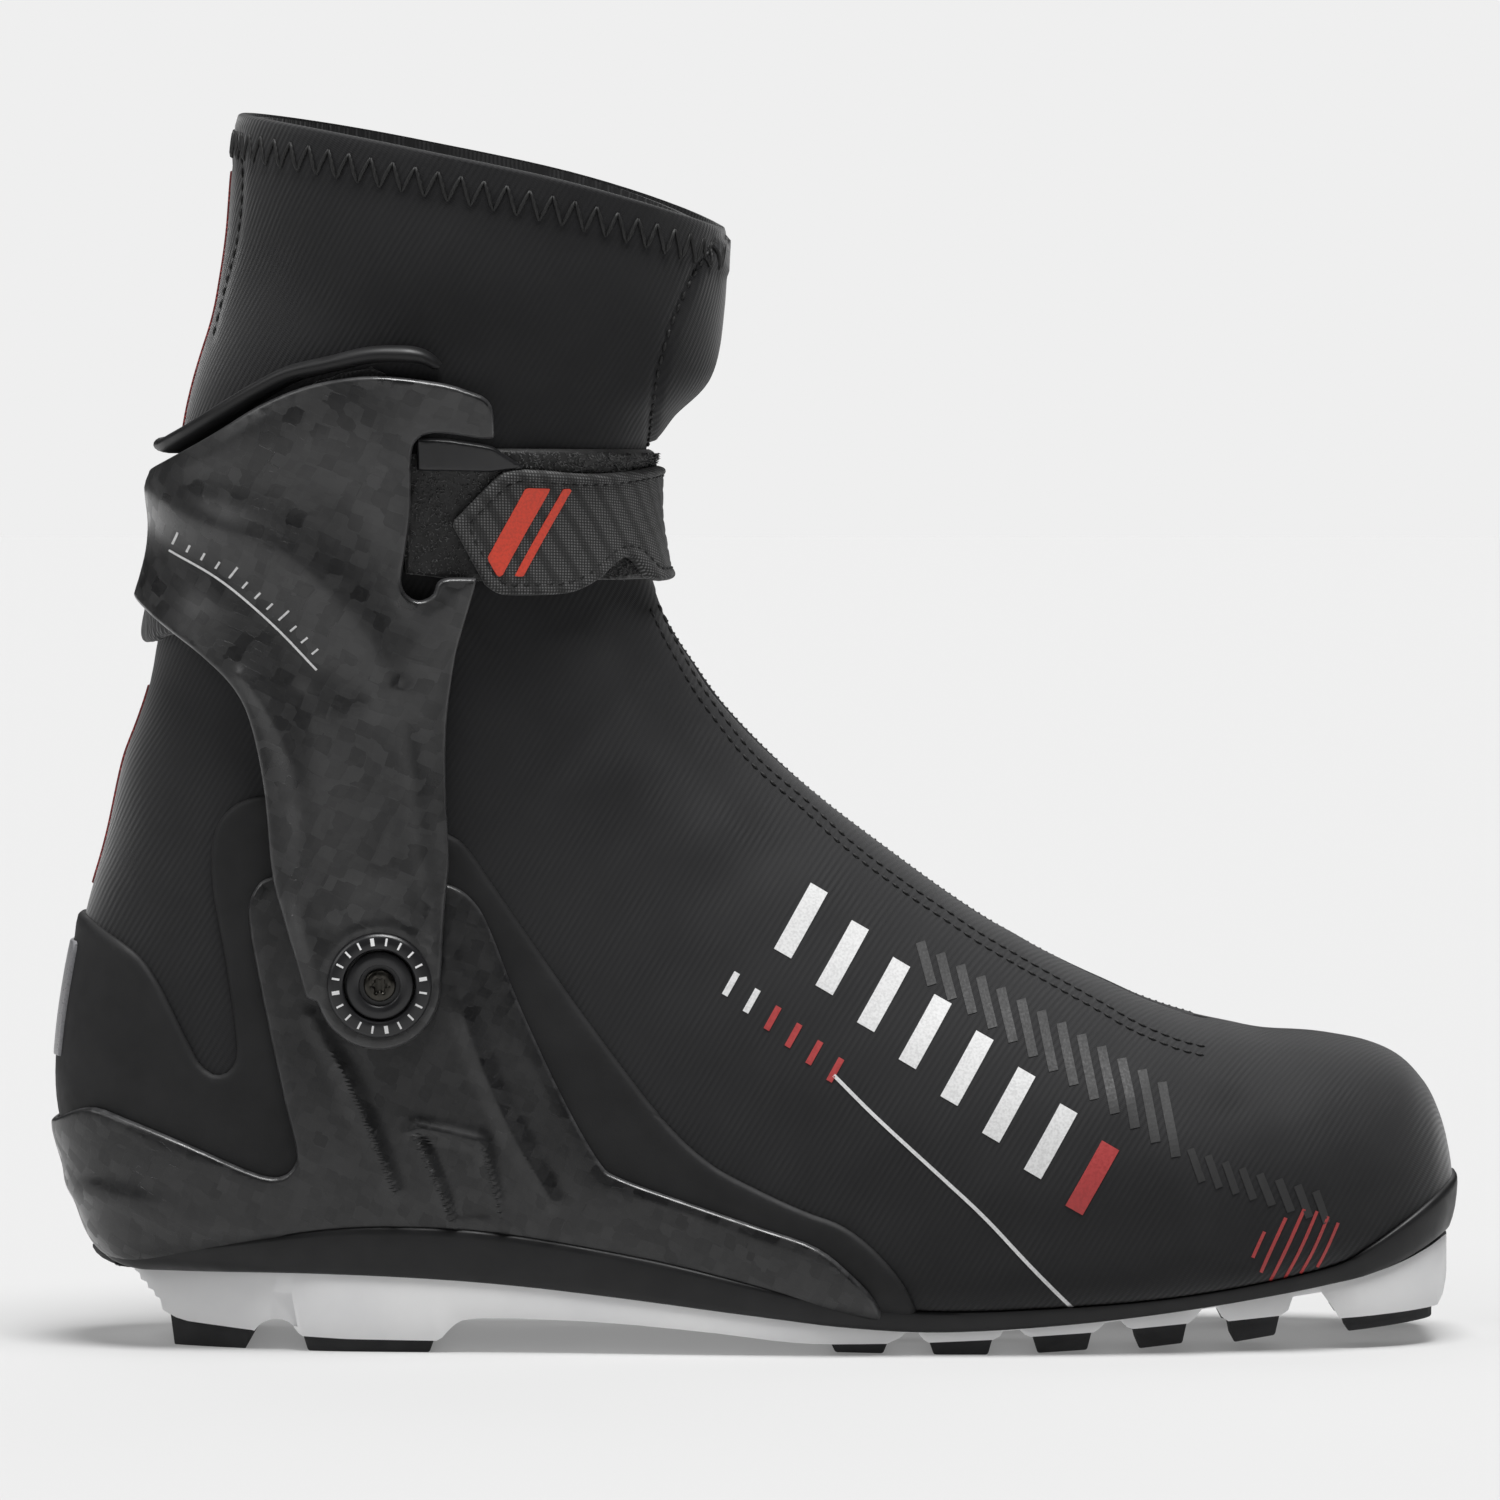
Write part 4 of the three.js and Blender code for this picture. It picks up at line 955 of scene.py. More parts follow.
# ------------------------------------------------------------------ the soft upper
RIM_LINE = spline([(-114, 259.2), (-92, 255.6), (-70, 251.4), (-40, 245), (-15, 237.6), (2, 230.5)], 30)
RIM_TILT = 0.05  # the medial side of the rim stands higher
RIM_DROP = 6.5  # of the zigzag below the rim
HEM = 10.0  # width of the turned-in hem
SEAM_FRONT = spline([(-9, 231), (-12, 225.5), (-15, 220), (-18, 213), (-20, 205), (-21.2, 198),
                     (-22.6, 188)], 30)
SEAM_BACK = spline([(-107.6, 252), (-107.8, 240), (-109.4, 230), (-112, 220), (-114, 211)], 20)
ZIP_HALF, ZIP_END = 3.5, 92.0  # half width of the zip, and where its slot ends at the toe
CHANNEL_HALF = 5.6  # of the recess in front of the collar's zip
CHANNEL_FOOT = (190, 195)  # heights over which the recess opens
SLOT_TOP = 158  # of the instep's slot, below the strap
LINING_HALF, LINING_FOOT = 5.8, 186  # the lining's opening behind the collar's zip
PLACKET = (189, 231.5)  # heights of the raised front panels


def below_rim(points):
    """Height of the rim over each point, measured square to it."""
    above = height_at(RIM_LINE, points[:, 0]) + RIM_TILT * points[:, 1]
    return (above - points[:, 2]) * 0.97


def zip_gap(points, params):
    """Distance from the zip's slot along the front centre line."""
    front = np.cos(params[:, 1]) > 0
    beyond = np.maximum(points[:, 0] - ZIP_END, 0)
    wider = (CHANNEL_HALF - ZIP_HALF) * smooth_step(points[:, 2], *CHANNEL_FOOT)
    gap = np.hypot(points[:, 1], beyond) - ZIP_HALF + 0.2 - wider
    behind_strap = (points[:, 2] > SLOT_TOP) & (points[:, 2] < CHANNEL_FOOT[0])
    gap = np.where(behind_strap & (beyond == 0), np.maximum(gap, np.abs(points[:, 1])), gap)
    return np.where(front, gap, 1e3)


def over_rand(points):
    return points[:, 2] - height_at(RAND_TOP, points[:, 0]) + 1.6


def upper_field(points, params):
    return np.minimum(np.minimum(below_rim(points), over_rand(points)), zip_gap(points, params))


# Soft creases of the fabric: side-view line, width, depth (below zero sinks in).
CREASES = [
    (spline([(-46, 152), (-38, 138), (-26, 122), (-12, 108)], 8), 9, 0.9),
    (spline([(-28, 148), (-22, 132), (-12, 118), (2, 104)], 8), 6, -0.8),
    (spline([(100, 50), (103, 38), (103, 28), (101, 18)], 8), 5, -1.0),
    (spline([(112, 46), (115, 34), (113, 20)], 8), 6, 0.8),
    (spline([(78, 52), (86, 40), (90, 22)], 8), 6, 0.9),
    (spline([(-72, 228), (-48, 224), (-30, 216)], 8), 13, 0.9),
    (spline([(-100, 224), (-84, 214), (-60, 210)], 8), 8, -0.8),
    (spline([(-26, 206), (-36, 196), (-46, 190)], 8), 6, -0.9),
    (spline([(-124, 138), (-118, 124), (-120, 104)], 8), 8, -0.7),
    (spline([(-132, 122), (-128, 108), (-134, 96)], 8), 6, 0.6),
]


def upper_relief(near, params, distance):
    """Height of the fabric's folds, hem and front placket."""
    height = 0.28 * smooth_noise(near, 46, 3) + 0.10 * smooth_noise(near, 17, 5)
    for line, width, depth in CREASES:
        height += depth * ridge(near, line, width)
    rim = (height_at(RIM_LINE, near[:, 0]) - near[:, 1]) * 0.97
    front = near[:, 0] - np.interp(near[:, 1], SEAM_FRONT[::-1, 1], SEAM_FRONT[::-1, 0])
    placket = (near[:, 1] > PLACKET[0]) & (near[:, 1] < PLACKET[1])
    height += 0.45 * (1 - smooth_step(rim, HEM - 1, HEM + 0.6))
    height += np.where(placket, 0.9 * smooth_step(front, -0.2, 0.9), 0)
    for line in (SEAM_FRONT, SEAM_BACK):
        height -= 0.5 * ridge(near, line, 0.9)
    height *= smooth_step(rim, -0.5, 3)
    return height * smooth_step(over_rand_flat(near), 0, 9)


def over_rand_flat(near):
    return near[:, 1] - height_at(RAND_TOP, near[:, 0])


def make_upper():
    upper = skin_piece("softshell_upper", SOFTSHELL, None, 0.0, -1.4, u_range=(0, 1 + OVER_RIM),
                       field=upper_field, relief=upper_relief, spacing=1.45, rim=0.7, wall=0.2)
    finish_piece(upper, None, "softshell", "upper_shell", "collar")


def lining_field(points, params):
    front = np.cos(params[:, 1]) > 0
    slot = np.abs(points[:, 1]) - LINING_HALF
    channel = front & (points[:, 2] > LINING_FOOT) & (points[:, 0] > -60)
    rim = np.minimum(below_rim(points) - 0.6, over_rand(points) - 1)
    return np.minimum(rim, np.where(channel, slot, 1e3))


def make_lining():
    lining = skin_piece("knit_lining", KNIT, None, -1.5, -4.6, u_range=(0, 1 + OVER_RIM), field=lining_field,
                        spacing=3.2, rim=2.4, wall=0.3)
    finish_piece(lining, None, "knit_lining", "upper_lining", "collar_lining")


# ------------------------------------------------------------------ tongue
TONGUE = spline([(62, 90), (-4, 142), (-26, 150), (-34, 138), (-20, 118), (18, 88), (52, 66), (72, 66),
                 (62, 90)], 60)
TONGUE_HALF = 24


def tongue_field(points, params):
    inside = signed_distance(points[:, [0, 2]], TONGUE)
    front = np.cos(params[:, 1]) > 0
    return np.where(front, np.minimum(inside, TONGUE_HALF - np.abs(points[:, 1])), -1e3)


def make_tongue():
    tongue = skin_piece("padded_tongue", SOFTSHELL, None, -5, -8, field=tongue_field, spacing=2.4, rim=1.5)
    finish_piece(tongue, None, "softshell", "tongue")


# ------------------------------------------------------------------ heel overlay
OVERLAY = join(
    spline([(-160, 92), (-149, 91.4), (-142, 90.5), (-136, 87), (-129, 82.5), (-124.6, 77), (-120, 68),
            (-116.4, 61)], 20),
    spline([(-115.3, 59.4), (-112.6, 57.6), (-109.6, 58.2), (-107.8, 61.4), (-108.2, 68), (-110.2, 82),
            (-112.8, 97), (-112.6, 107), (-109, 113), (-102, 115.6), (-90, 115), (-76, 112), (-64, 107.6),
            (-60, 104.6), (-54, 96), (-45, 83), (-35, 69), (-20, 49.5), (-10, 40), (0, 34.5), (10, 30),
            (18, 27), (25, 21.5), (31, 14), (35, 5)], 70),
    [(-160, 5)],
)


def overlay_relief(near, params, distance):
    """A raised brim along the edge and a shallow hollow inside it."""
    brim = 0.35 * (smooth_step(distance, 0, 1.2) - smooth_step(distance, 2.2, 5))
    return brim + 0.18 * smooth_noise(near, 34, 11) * smooth_step(distance, 2, 8)


def above_rand(outline, drop=0.8):
    """Field of an outline that ends a little below the rand's top edge."""
    return lambda points, params: np.minimum(
        signed_distance(points[:, [0, 2]], outline), over_rand_flat(points[:, [0, 2]]) + drop)


def make_overlay():
    overlay = skin_piece("tpu_heel_overlay", OVERLAY_TPU, None, 1.2, 0.15, u_range=(0.3, 0.9),
                         angle_range=(0.35, TAU - 0.35), field=above_rand(OVERLAY), relief=overlay_relief,
                         spacing=1.8, rim=1.0)
    finish_piece(overlay, None, "black_tpu", "heel_overlay")


# ------------------------------------------------------------------ carbon chassis
CHASSIS = join(
    spline([(-160, 44), (-150, 45.6), (-145, 47.5), (-138, 50.3), (-130, 48), (-116, 42.5), (-104, 37.5),
            (-98.4, 36.8), (-95.6, 39.4), (-95.4, 43), (-98.5, 56), (-103, 78), (-105, 91), (-103.6, 96.4),
            (-100.4, 98.8), (-92, 100), (-76, 99.6), (-64, 97.2), (-58.5, 93.4), (-55, 87), (-49, 72),
            (-40, 53), (-32.5, 40), (-28, 36.6), (-15, 32), (0, 27), (12, 23), (19, 18), (25, 12),
            (28, 5)], 110),
    [(-160, 5)],
)
RIBS = [  # raised lines from the pivot to the sole: line, width, height
    (spline([(-91, 70), (-84, 55), (-79, 44), (-74.6, 34)], 12), 1.7, 1.3),
    (spline([(-64.5, 82), (-58, 63), (-51, 47), (-42, 32)], 12), 1.8, 1.4),
    (join([(-62.5, 28), (-67, 37.5), (-71, 46), (-70.2, 47), (-64, 45.8), (-57.4, 44.2), (-56.4, 43.2),
           (-54.4, 36), (-52, 28)]), 1.4, 0.9),
    (spline([(-146, 35), (-130, 31.6), (-114, 28.6), (-100, 27.4)], 8), 2.6, 0.8),
]
RECESS = np.array([(-71, 46.6), (-57, 43.6), (-52.5, 28), (-62.2, 28)])


def pivot_distance(near):
    return np.hypot(near[:, 0] - PIVOT[0], near[:, 1] - PIVOT[1])


def chassis_relief(near, params, distance):
    height = 0.12 * smooth_noise(near, 28, 21)
    for line, width, rise in RIBS:
        height += rise * ridge(near, line, width)
    height -= 0.6 * smooth_step(signed_distance(near, RECESS), 0, 2.2)
    far = pivot_distance(near)
    height *= smooth_step(far, 13, 19)
    return height * smooth_step(distance, 0.6, 4) - 0.25 * (1 - smooth_step(distance, 0.2, 2.4))


def make_chassis():
    edge = above_rand(CHASSIS)

    def field(points, params):
        hole = pivot_distance(points[:, [0, 2]]) - 4.4
        return np.minimum(edge(points, params), hole)

    chassis = skin_piece("carbon_chassis", CHASSIS_CARBON, None, 3.3, 1.5, u_range=(0.3, 0.86),
                         angle_range=(0.4, TAU - 0.4), field=field, relief=chassis_relief,
                         spacing=0.85, rim=0.8)
    finish_piece(chassis, BOOT, "carbon", "heel_chassis")


# ------------------------------------------------------------------ carbon cuff
ARM_END = 12.8  # radius of the arm's end round the pivot
CUFF_FACES = (6.8, 4.8)  # outer and inner, out from the skin
CUFF = join(
    spline([(-146, 172.5), (-132, 177), (-125, 181.4), (-120, 183.8), (-110, 189.8), (-100, 196.4),
            (-90, 200.8), (-78, 202.8), (-65, 201.5), (-58.6, 199.6)], 40),
    spline([(-57, 199), (-55.4, 197.6), (-54.9, 195), (-55, 190.6)], 6),
    spline([(-57.4, 190.4), (-64, 191.2), (-68.2, 191), (-70.6, 189), (-71.3, 185), (-71.6, 175), (-73, 165),
            (-73.6, 160.4), (-72.6, 157.6), (-70.2, 156.4), (-67.6, 157.6), (-66.6, 160.2), (-64.5, 161.2),
            (-59.2, 161.2)], 40),
    spline([(-59.6, 159), (-61.5, 152), (-63.4, 144), (-65, 130), (-64.8, 115), (-64.1, 100), (-64.9, 86),
            (-65.2, 80)], 30),
    arc(PIVOT + [-0.2, -0.6], ARM_END, 8, -166, 26),
    spline([(-93, 74), (-94.6, 80), (-97.4, 90), (-99.8, 100), (-101, 116), (-103, 129), (-106, 137),
            (-112, 143.8), (-120, 150.5), (-127, 156.8), (-134, 159), (-146, 160.5)], 50),
)
CUFF_RIDGES = [  # line, width, height (below zero sinks in)
    (spline([(-127, 185), (-118, 177), (-110, 172), (-100, 168.5), (-92, 163), (-85, 155), (-79.5, 147),
             (-76, 138)], 16), 4.5, 1.1),
    (spline([(-124, 166), (-112, 160), (-100, 152), (-92, 142)], 12), 7, -0.9),
    (spline([(-104, 140), (-99, 132), (-95.2, 121), (-93.8, 105), (-94, 90), (-91, 76), (-87, 69)], 16),
     1.8, 0.9),
    (spline([(-93, 136), (-90, 120), (-89.5, 104), (-89.4, 88)], 12), 2.4, -0.5),
    (spline([(-74, 138), (-71.5, 120), (-69.6, 104), (-67.6, 90), (-66.4, 80)], 14), 1.5, 0.7),
    (spline([(-82, 132), (-81, 116), (-80, 100)], 10), 4.5, 0.5),
    (spline([(-110, 190), (-96, 192), (-82, 190), (-72, 180), (-66, 150)], 12), 9, 0.5),
    (spline([(-84, 180), (-78, 168), (-74, 152)], 10), 5, -0.5),
]


def cuff_relief(near, params, distance):
    height = 0.2 * smooth_noise(near, 30, 31)
    for line, width, rise in CUFF_RIDGES:
        height += rise * ridge(near, line, width)
    far = pivot_distance(near)
    height *= smooth_step(far, 11.5, 15)
    height += 0.35 * ridge_ring(far, 12.0, 0.7)
    rear = smooth_step(-near[:, 0], 118, 134)
    return height * smooth_step(distance, 0.5, 3.5) * (1 - 0.6 * rear)


def ridge_ring(far, radius, width):
    return np.exp(-((far - radius) / width) ** 2)


def cuff_field(points, params):
    near = points[:, [0, 2]]
    return np.minimum(signed_distance(near, CUFF), pivot_distance(near) - 7.3)


def make_cuff():
    cuff = skin_piece("carbon_cuff", CARBON, None, *CUFF_FACES, u_range=(0.3, 1),
                      angle_range=(0.35, TAU - 0.35), field=cuff_field, relief=cuff_relief,
                      spacing=1.1, rim=0.9)
    finish_piece(cuff, CUFF_BODY, "carbon", "cuff")


# ------------------------------------------------------------------ lip, pad and tapes
LIP_LINE = spline([(-119.5, 188.2), (-114, 191.4), (-107, 196), (-101, 199.8), (-95, 203), (-87, 205.1),
                   (-80, 206.9), (-74, 207.3), (-69, 206.8), (-65.4, 204.6)], 40)
# Across and out from the skin, a rounded bead with a flat back.
LIP_PROFILE = spline([(-1.55, 0.4), (-1.8, 2.6), (-1.5, 4.9), (-0.6, 6.1), (0.5, 6.0), (1.4, 4.9),
                      (1.75, 2.6), (1.5, 0.4)], 13)
LIP_STEPS = 180
LIP_TAPER = 7  # steps over which each end runs out
PAD = join(
    spline([(-146, 176.6), (-124.5, 183.6), (-110, 190.2), (-95, 200), (-84, 204.2), (-78, 204.8),
            (-74.8, 203)], 30),
    [(-74.8, 168.6)],
    spline([(-84, 162), (-104, 152), (-114, 149.4), (-119.5, 148.2), (-126, 145.8), (-132, 144.8),
            (-146, 144)], 16),
)
ROUND_BACK = (0.3, TAU - 0.3)  # round the back, clear of the front line


def level_places(line, angle, low=0.55, high=1.0):
    """u at each angle where the skin crosses a side-view line, found by halving."""
    low, high = np.full(len(angle), low), np.full(len(angle), high)
    for _ in range(24):
        u = (low + high) / 2
        spots = skin(u, angle)
        under = spots[:, 2] < height_at(line, spots[:, 0])
        low, high = np.where(under, u, low), np.where(under, high, u)
    return u


def make_lip():
    _, front = find_place(LIP_LINE[-1:, 0], LIP_LINE[-1:, 1])
    angle = np.linspace(front[0], TAU - front[0], LIP_STEPS)
    u = level_places(LIP_LINE, angle)
    path, normal = skin(u, angle), skin_normal(u, angle)
    across = unit(np.cross(np.gradient(path, axis=0), normal))
    from_end = np.minimum(np.arange(LIP_STEPS), np.arange(LIP_STEPS)[::-1])
    size = 0.45 + 0.55 * np.sqrt(np.clip(from_end / LIP_TAPER, 0, 1))
    rings = [p + np.outer(LIP_PROFILE[:, 0] * k, w) + np.outer(LIP_PROFILE[:, 1] * (0.4 + 0.6 * k), n)
             for p, n, w, k in zip(path, normal, across, size)]
    finish_piece(ring_object("rubber_cuff_lip", rings, RUBBER), CUFF_BODY, "cuff_rubber", "cuff_lip")


PAD_FRAMES = 14
PAD_SWELL = 0.7  # most that the foam may swell, in millimetres


def swell(obj, pressure, most):
    """Cloth simulation: the closed piece swells under pressure, no point further than most."""
    start = np.array([v.co for v in obj.data.vertices])
    cloth = obj.modifiers.new("cloth", "CLOTH")
    cloth.settings.use_pressure = True
    cloth.settings.uniform_pressure_force = pressure
    cloth.settings.effector_weights.gravity = 0
    cloth.settings.tension_stiffness = cloth.settings.compression_stiffness = 30
    cloth.settings.quality = 5
    cloth.point_cache.frame_end = PAD_FRAMES
    scene = bpy.context.scene
    for frame_number in range(1, PAD_FRAMES + 1):
        scene.frame_set(frame_number)
    graph = bpy.context.evaluated_depsgraph_get()
    swollen = np.array([v.co for v in obj.evaluated_get(graph).data.vertices])
    obj.modifiers.clear()
    scene.frame_set(1)
    move = swollen - start
    far = np.linalg.norm(move, axis=1, keepdims=True)
    move *= np.minimum(1, most * MM / np.maximum(far, 1e-9))
    obj.data.vertices.foreach_set("co", (start + move).astype(np.float32).ravel())
    obj.data.update()


def subdivided(obj, levels=1):
    modifier = obj.modifiers.new("fine", "SUBSURF")
    modifier.levels = modifier.render_levels = levels
    return apply_modifiers(obj)


def make_pad():
    pad = skin_piece("foam_cuff_pad", KNIT, PAD, 4.0, 0.4, (0.55, 1), ROUND_BACK, spacing=2.4, rim=1.8,
                     wall=0.2)
    remesh = pad.modifiers.new("even", "REMESH")
    remesh.mode, remesh.voxel_size = "VOXEL", 1.6 * MM
    remesh.use_smooth_shade = True
    even = pad.modifiers.new("soft", "SMOOTH")
    even.factor, even.iterations = 0.5, 6
    apply_modifiers(pad)
    swell(pad, 4, PAD_SWELL)
    subdivided(pad)
    finish_piece(pad, CUFF_BODY, "cuff_foam", "cuff_foam")


def band_field(low, high, half):
    """Strip up the back centre line."""
    def field(points, params):
        back = np.where(np.cos(params[:, 1]) < 0, half - np.abs(points[:, 1]), -9)
        return np.minimum(back, np.minimum(points[:, 2] - low, high - points[:, 2]))
    return field


def make_tapes():
    around = (math.pi - 0.7, math.pi + 0.7)
    for name, low, high, body, node in (("red_back_tape", 191, 246, CUFF_BODY, "back_tape"),
                                        ("red_heel_tape", 96, 138, None, "heel_tape")):
        tape = skin_piece(name, RED_TAPE, None, 0.4, -0.6, (0.5, 1), around, 1.2, 0.25,
                          upper_relief, band_field(low, high, 4))
        finish_piece(tape, body, "red_tape", node)
    strip = skin_piece("heel_reflector_strip", REFLECTIVE, None, 1.9, 0.6, (0.5, 0.9), around, 1.4, 0.3,
                       None, band_field(60, 84, 12))
    finish_piece(strip, BOOT, "reflective", "heel_reflector")


# ------------------------------------------------------------------ ankle pivots
def turned(profile, side, centre=PIVOT, steps=72, shape=None):
    """Rings of a round piece about the Y axis; the profile is radius and distance from the centre plane.

    shape changes a profile radius by the turn round the axis."""
    turn = np.linspace(0, TAU, steps, endpoint=False)
    rings = []
    for k, (radius, out) in enumerate(profile):
        r = shape(k, radius, turn) if shape else np.full(steps, radius)
        rings.append(np.column_stack([centre[0] + r * np.cos(turn), np.full(steps, side * out),
                                      centre[1] + r * np.sin(turn)]))
    return np.array(rings)


SOCKET_RINGS = (0, 1, 2)  # of the screw's profile


def star(k, radius, turn):
    """Six-lobed socket inside the screw head, round outside it."""
    return radius * (1 + 0.2 * np.cos(6 * turn)) if k in SOCKET_RINGS else np.full(len(turn), radius)


TICKS = 20  # round each pivot cap
TICK_RADII = (8.35, 9.95)


def pivot_tick(turn, wide, top, side):
    """One raised mark across the cap's sloping face."""
    arm = np.array([math.cos(turn), math.sin(turn)])
    across = np.array([-arm[1], arm[0]]) * wide / 2
    near, far = PIVOT + arm * TICK_RADII[0], PIVOT + arm * TICK_RADII[1]
    corners = [(near - across, 1.46), (near + across, 1.46), (far + across, 1.24), (far - across, 1.24)]
    return ring_mesh([[(c[0], side * (top + rise + depth), c[1]) for c, rise in corners]
                      for depth in (0.0, 0.12)])


def make_pivot(side, suffix):
    top = abs(on_skin(PIVOT[None, :])[0, 1]) + CUFF_FACES[0]
    cap = [(7.5, top - 0.4), (7.45, top + 0.9), (7.7, top + 1.35), (8.1, top + 1.5), (10, top + 1.25),
           (10.6, top + 0.9), (10.8, top + 0.4), (10.8, top - 0.4)]
    hub = [(3.35, top - 2.6), (3.35, top - 0.7), (3.6, top - 0.75), (4.2, top - 0.7), (4.35, top + 0.55),
           (4.7, top + 0.8), (6.5, top + 0.8), (6.95, top + 0.5), (7, top - 2.6)]
    head = [(1.35, top - 1.4), (1.4, top + 0.1), (1.62, top + 0.28), (2.2, top + 0.32), (2.9, top + 0.22),
            (3.25, top - 0.1), (3.3, top - 0.7), (1.8, top - 0.8), (1.8, top - 5.4)]
    ring = ring_object(f"pivot_ring_{suffix}", turned(cap, side), PLASTIC, closed=True)
    finish_piece(ring, CUFF_BODY, "pivot_plastic", f"pivot_cap_{suffix}")
    marks = [pivot_tick(TAU * (k + 0.5) / TICKS, 0.42 if k % 5 else 0.8, top, side) for k in range(TICKS)]
    ticks = weld(many(f"pivot_marks_{suffix}", marks, WHITE_PLASTIC, smooth=False), 1e-7)
    finish_piece(ticks, CUFF_BODY, "pivot_plastic")
    bushing = ring_object(f"pivot_hub_{suffix}", turned(hub, side), PLASTIC, closed=True)
    finish_piece(bushing, BOOT, "pivot_plastic", f"pivot_bushing_{suffix}")
    screw = ring_object(f"pivot_star_screw_{suffix}", turned(head, side, shape=star), SCREW_STEEL)
    finish_piece(screw, BOOT, "pivot_steel", f"pivot_screw_{suffix}")


# ------------------------------------------------------------------ strap
LOOP = join([(-73.2, 186.2), (-60, 187.6), (12, 187.6), (12, 160.2), (-60, 160.2), (-72.8, 161.8)])
HOOK_LATERAL = join(
    spline([(-63.6, 172.4), (-58, 178.6), (-54.4, 182.4), (-52.6, 183.6), (-50, 184)], 10),
    spline([(-45, 183.9), (-38, 183.4), (-30, 183.8), (-19, 185.2), (12, 185.4)], 12),
    spline([(12, 158.6), (-20, 158.9), (-23.6, 159), (-26, 160), (-28.6, 163.6), (-30.2, 164.8), (-32, 163.8),
            (-35.3, 160.4), (-39, 158.2), (-43, 157.4), (-51.5, 157.4), (-54.6, 157.8), (-57.2, 159.6)], 50),
)
STRAP_END = -57.5
HOOK_MEDIAL = join([(STRAP_END, 184.8), (-30, 184.2), (-19, 185.2), (12, 185.4), (12, 158.6),
                    (STRAP_END, 159.4)])
HOOK_PATCH = np.array([(-60, 172.5), (-52, 181), (-33, 181.5), (-33, 163.8), (-41, 161), (-55, 162.5)])
ANCHOR = np.array([(-71.4, 184.4), (-58.3, 184.8), (-58.3, 159.8), (-71.4, 163)])
GUIDE = join(
    [(-70.4, 190), (-64, 189.8)],
    spline([(-58, 189), (-55, 188.4), (-52.6, 186.8), (-48.6, 184.2)], 8),
    [(-56, 183.2), (-70.2, 183.2)],
)
RIVET_CENTRE = np.array([-65, 172.0])
RIVET = [  # radius and distance from the centre plane
    (0.01, 42.6), (1.2, 42.5), (2.6, 42.1), (3.6, 41.4), (4, 40.9), (4, 40.7), (2, 40.6), (2, 38.4),
    (0.01, 38.4),
]
LOOP_TOP, HOOK_TOP = 2.2, 4.9  # outer faces of the two straps, out from the skin
FRONT_BAND = {"u_range": (0.6, 0.93), "angle_range": (-2.4, 2.4)}
HAIRS = 5200


def two_sided(lateral, medial):
    """Field with one outline on each side of the boot."""
    def field(points, params):
        near = points[:, [0, 2]]
        return np.where(params[:, 1] > 0, signed_distance(near, lateral), signed_distance(near, medial))
    return field


def hook_relief(near, params, distance):
    """A bound edge, a stitch furrow and shallow diagonal lines."""
    height = 0.3 * (1 - smooth_step(distance, 1.6, 2.2)) * smooth_step(distance, 0.2, 0.8)
    height -= 0.2 * np.exp(-((distance - 2.3) / 0.5) ** 2)
    across = (near[:, 0] * math.sin(0.56) - near[:, 1] * math.cos(0.56)) / 2.9
    lines = 0.16 * np.maximum(0, np.sin(TAU * across)) ** 3
    inside = smooth_step(distance, 3, 5) * smooth_step(near[:, 0], -48, -38)
    return height - lines * inside + 0.12 * smooth_noise(near, 14, 41)


def on_hook(outline):
    """Inside an outline and clear of the lateral strap's bound edge."""
    def field(points, params):
        near = points[:, [0, 2]]
        return np.minimum(signed_distance(near, outline), signed_distance(near, HOOK_LATERAL) - 2.7)
    return field


def hook_ink_relief(near, params, distance):
    return hook_relief(near, params, signed_distance(near, HOOK_LATERAL))


def contour(field, level, u_range, angle_range, spacing=1.6):
    """Lines of (u, angle) places along a level of a field."""
    params, triangles = skin_grid(u_range, angle_range, spacing)
    value = field(skin(params[:, 0], params[:, 1]), params)
    params, triangles, value = cut_at(params, triangles, value, level)
    on_line = np.abs(value - level) < 1e-9
    edges = np.vstack([triangles[:, [0, 1]], triangles[:, [1, 2]], triangles[:, [2, 0]]])
    edges = edges[on_line[edges].all(axis=1)]
    near = {}
    for a, b in np.unique(np.sort(edges, axis=1), axis=0).tolist():
        near.setdefault(a, []).append(b)
        near.setdefault(b, []).append(a)
    lines, seen = [], set()
    for start in sorted(near, key=lambda k: (len(near[k]) != 1, k)):
        if start in seen:
            continue
        line = [start]
        seen.add(start)
        while True:
            ahead = [k for k in near[line[-1]] if k not in seen]
            if not ahead:
                break
            line.append(ahead[0])
            seen.add(ahead[0])
        if len(line) > 4:
            lines.append(params[line])
    return lines


def lifted(params, height):
    return skin(params[:, 0], params[:, 1]) + skin_normal(params[:, 0], params[:, 1]) * height


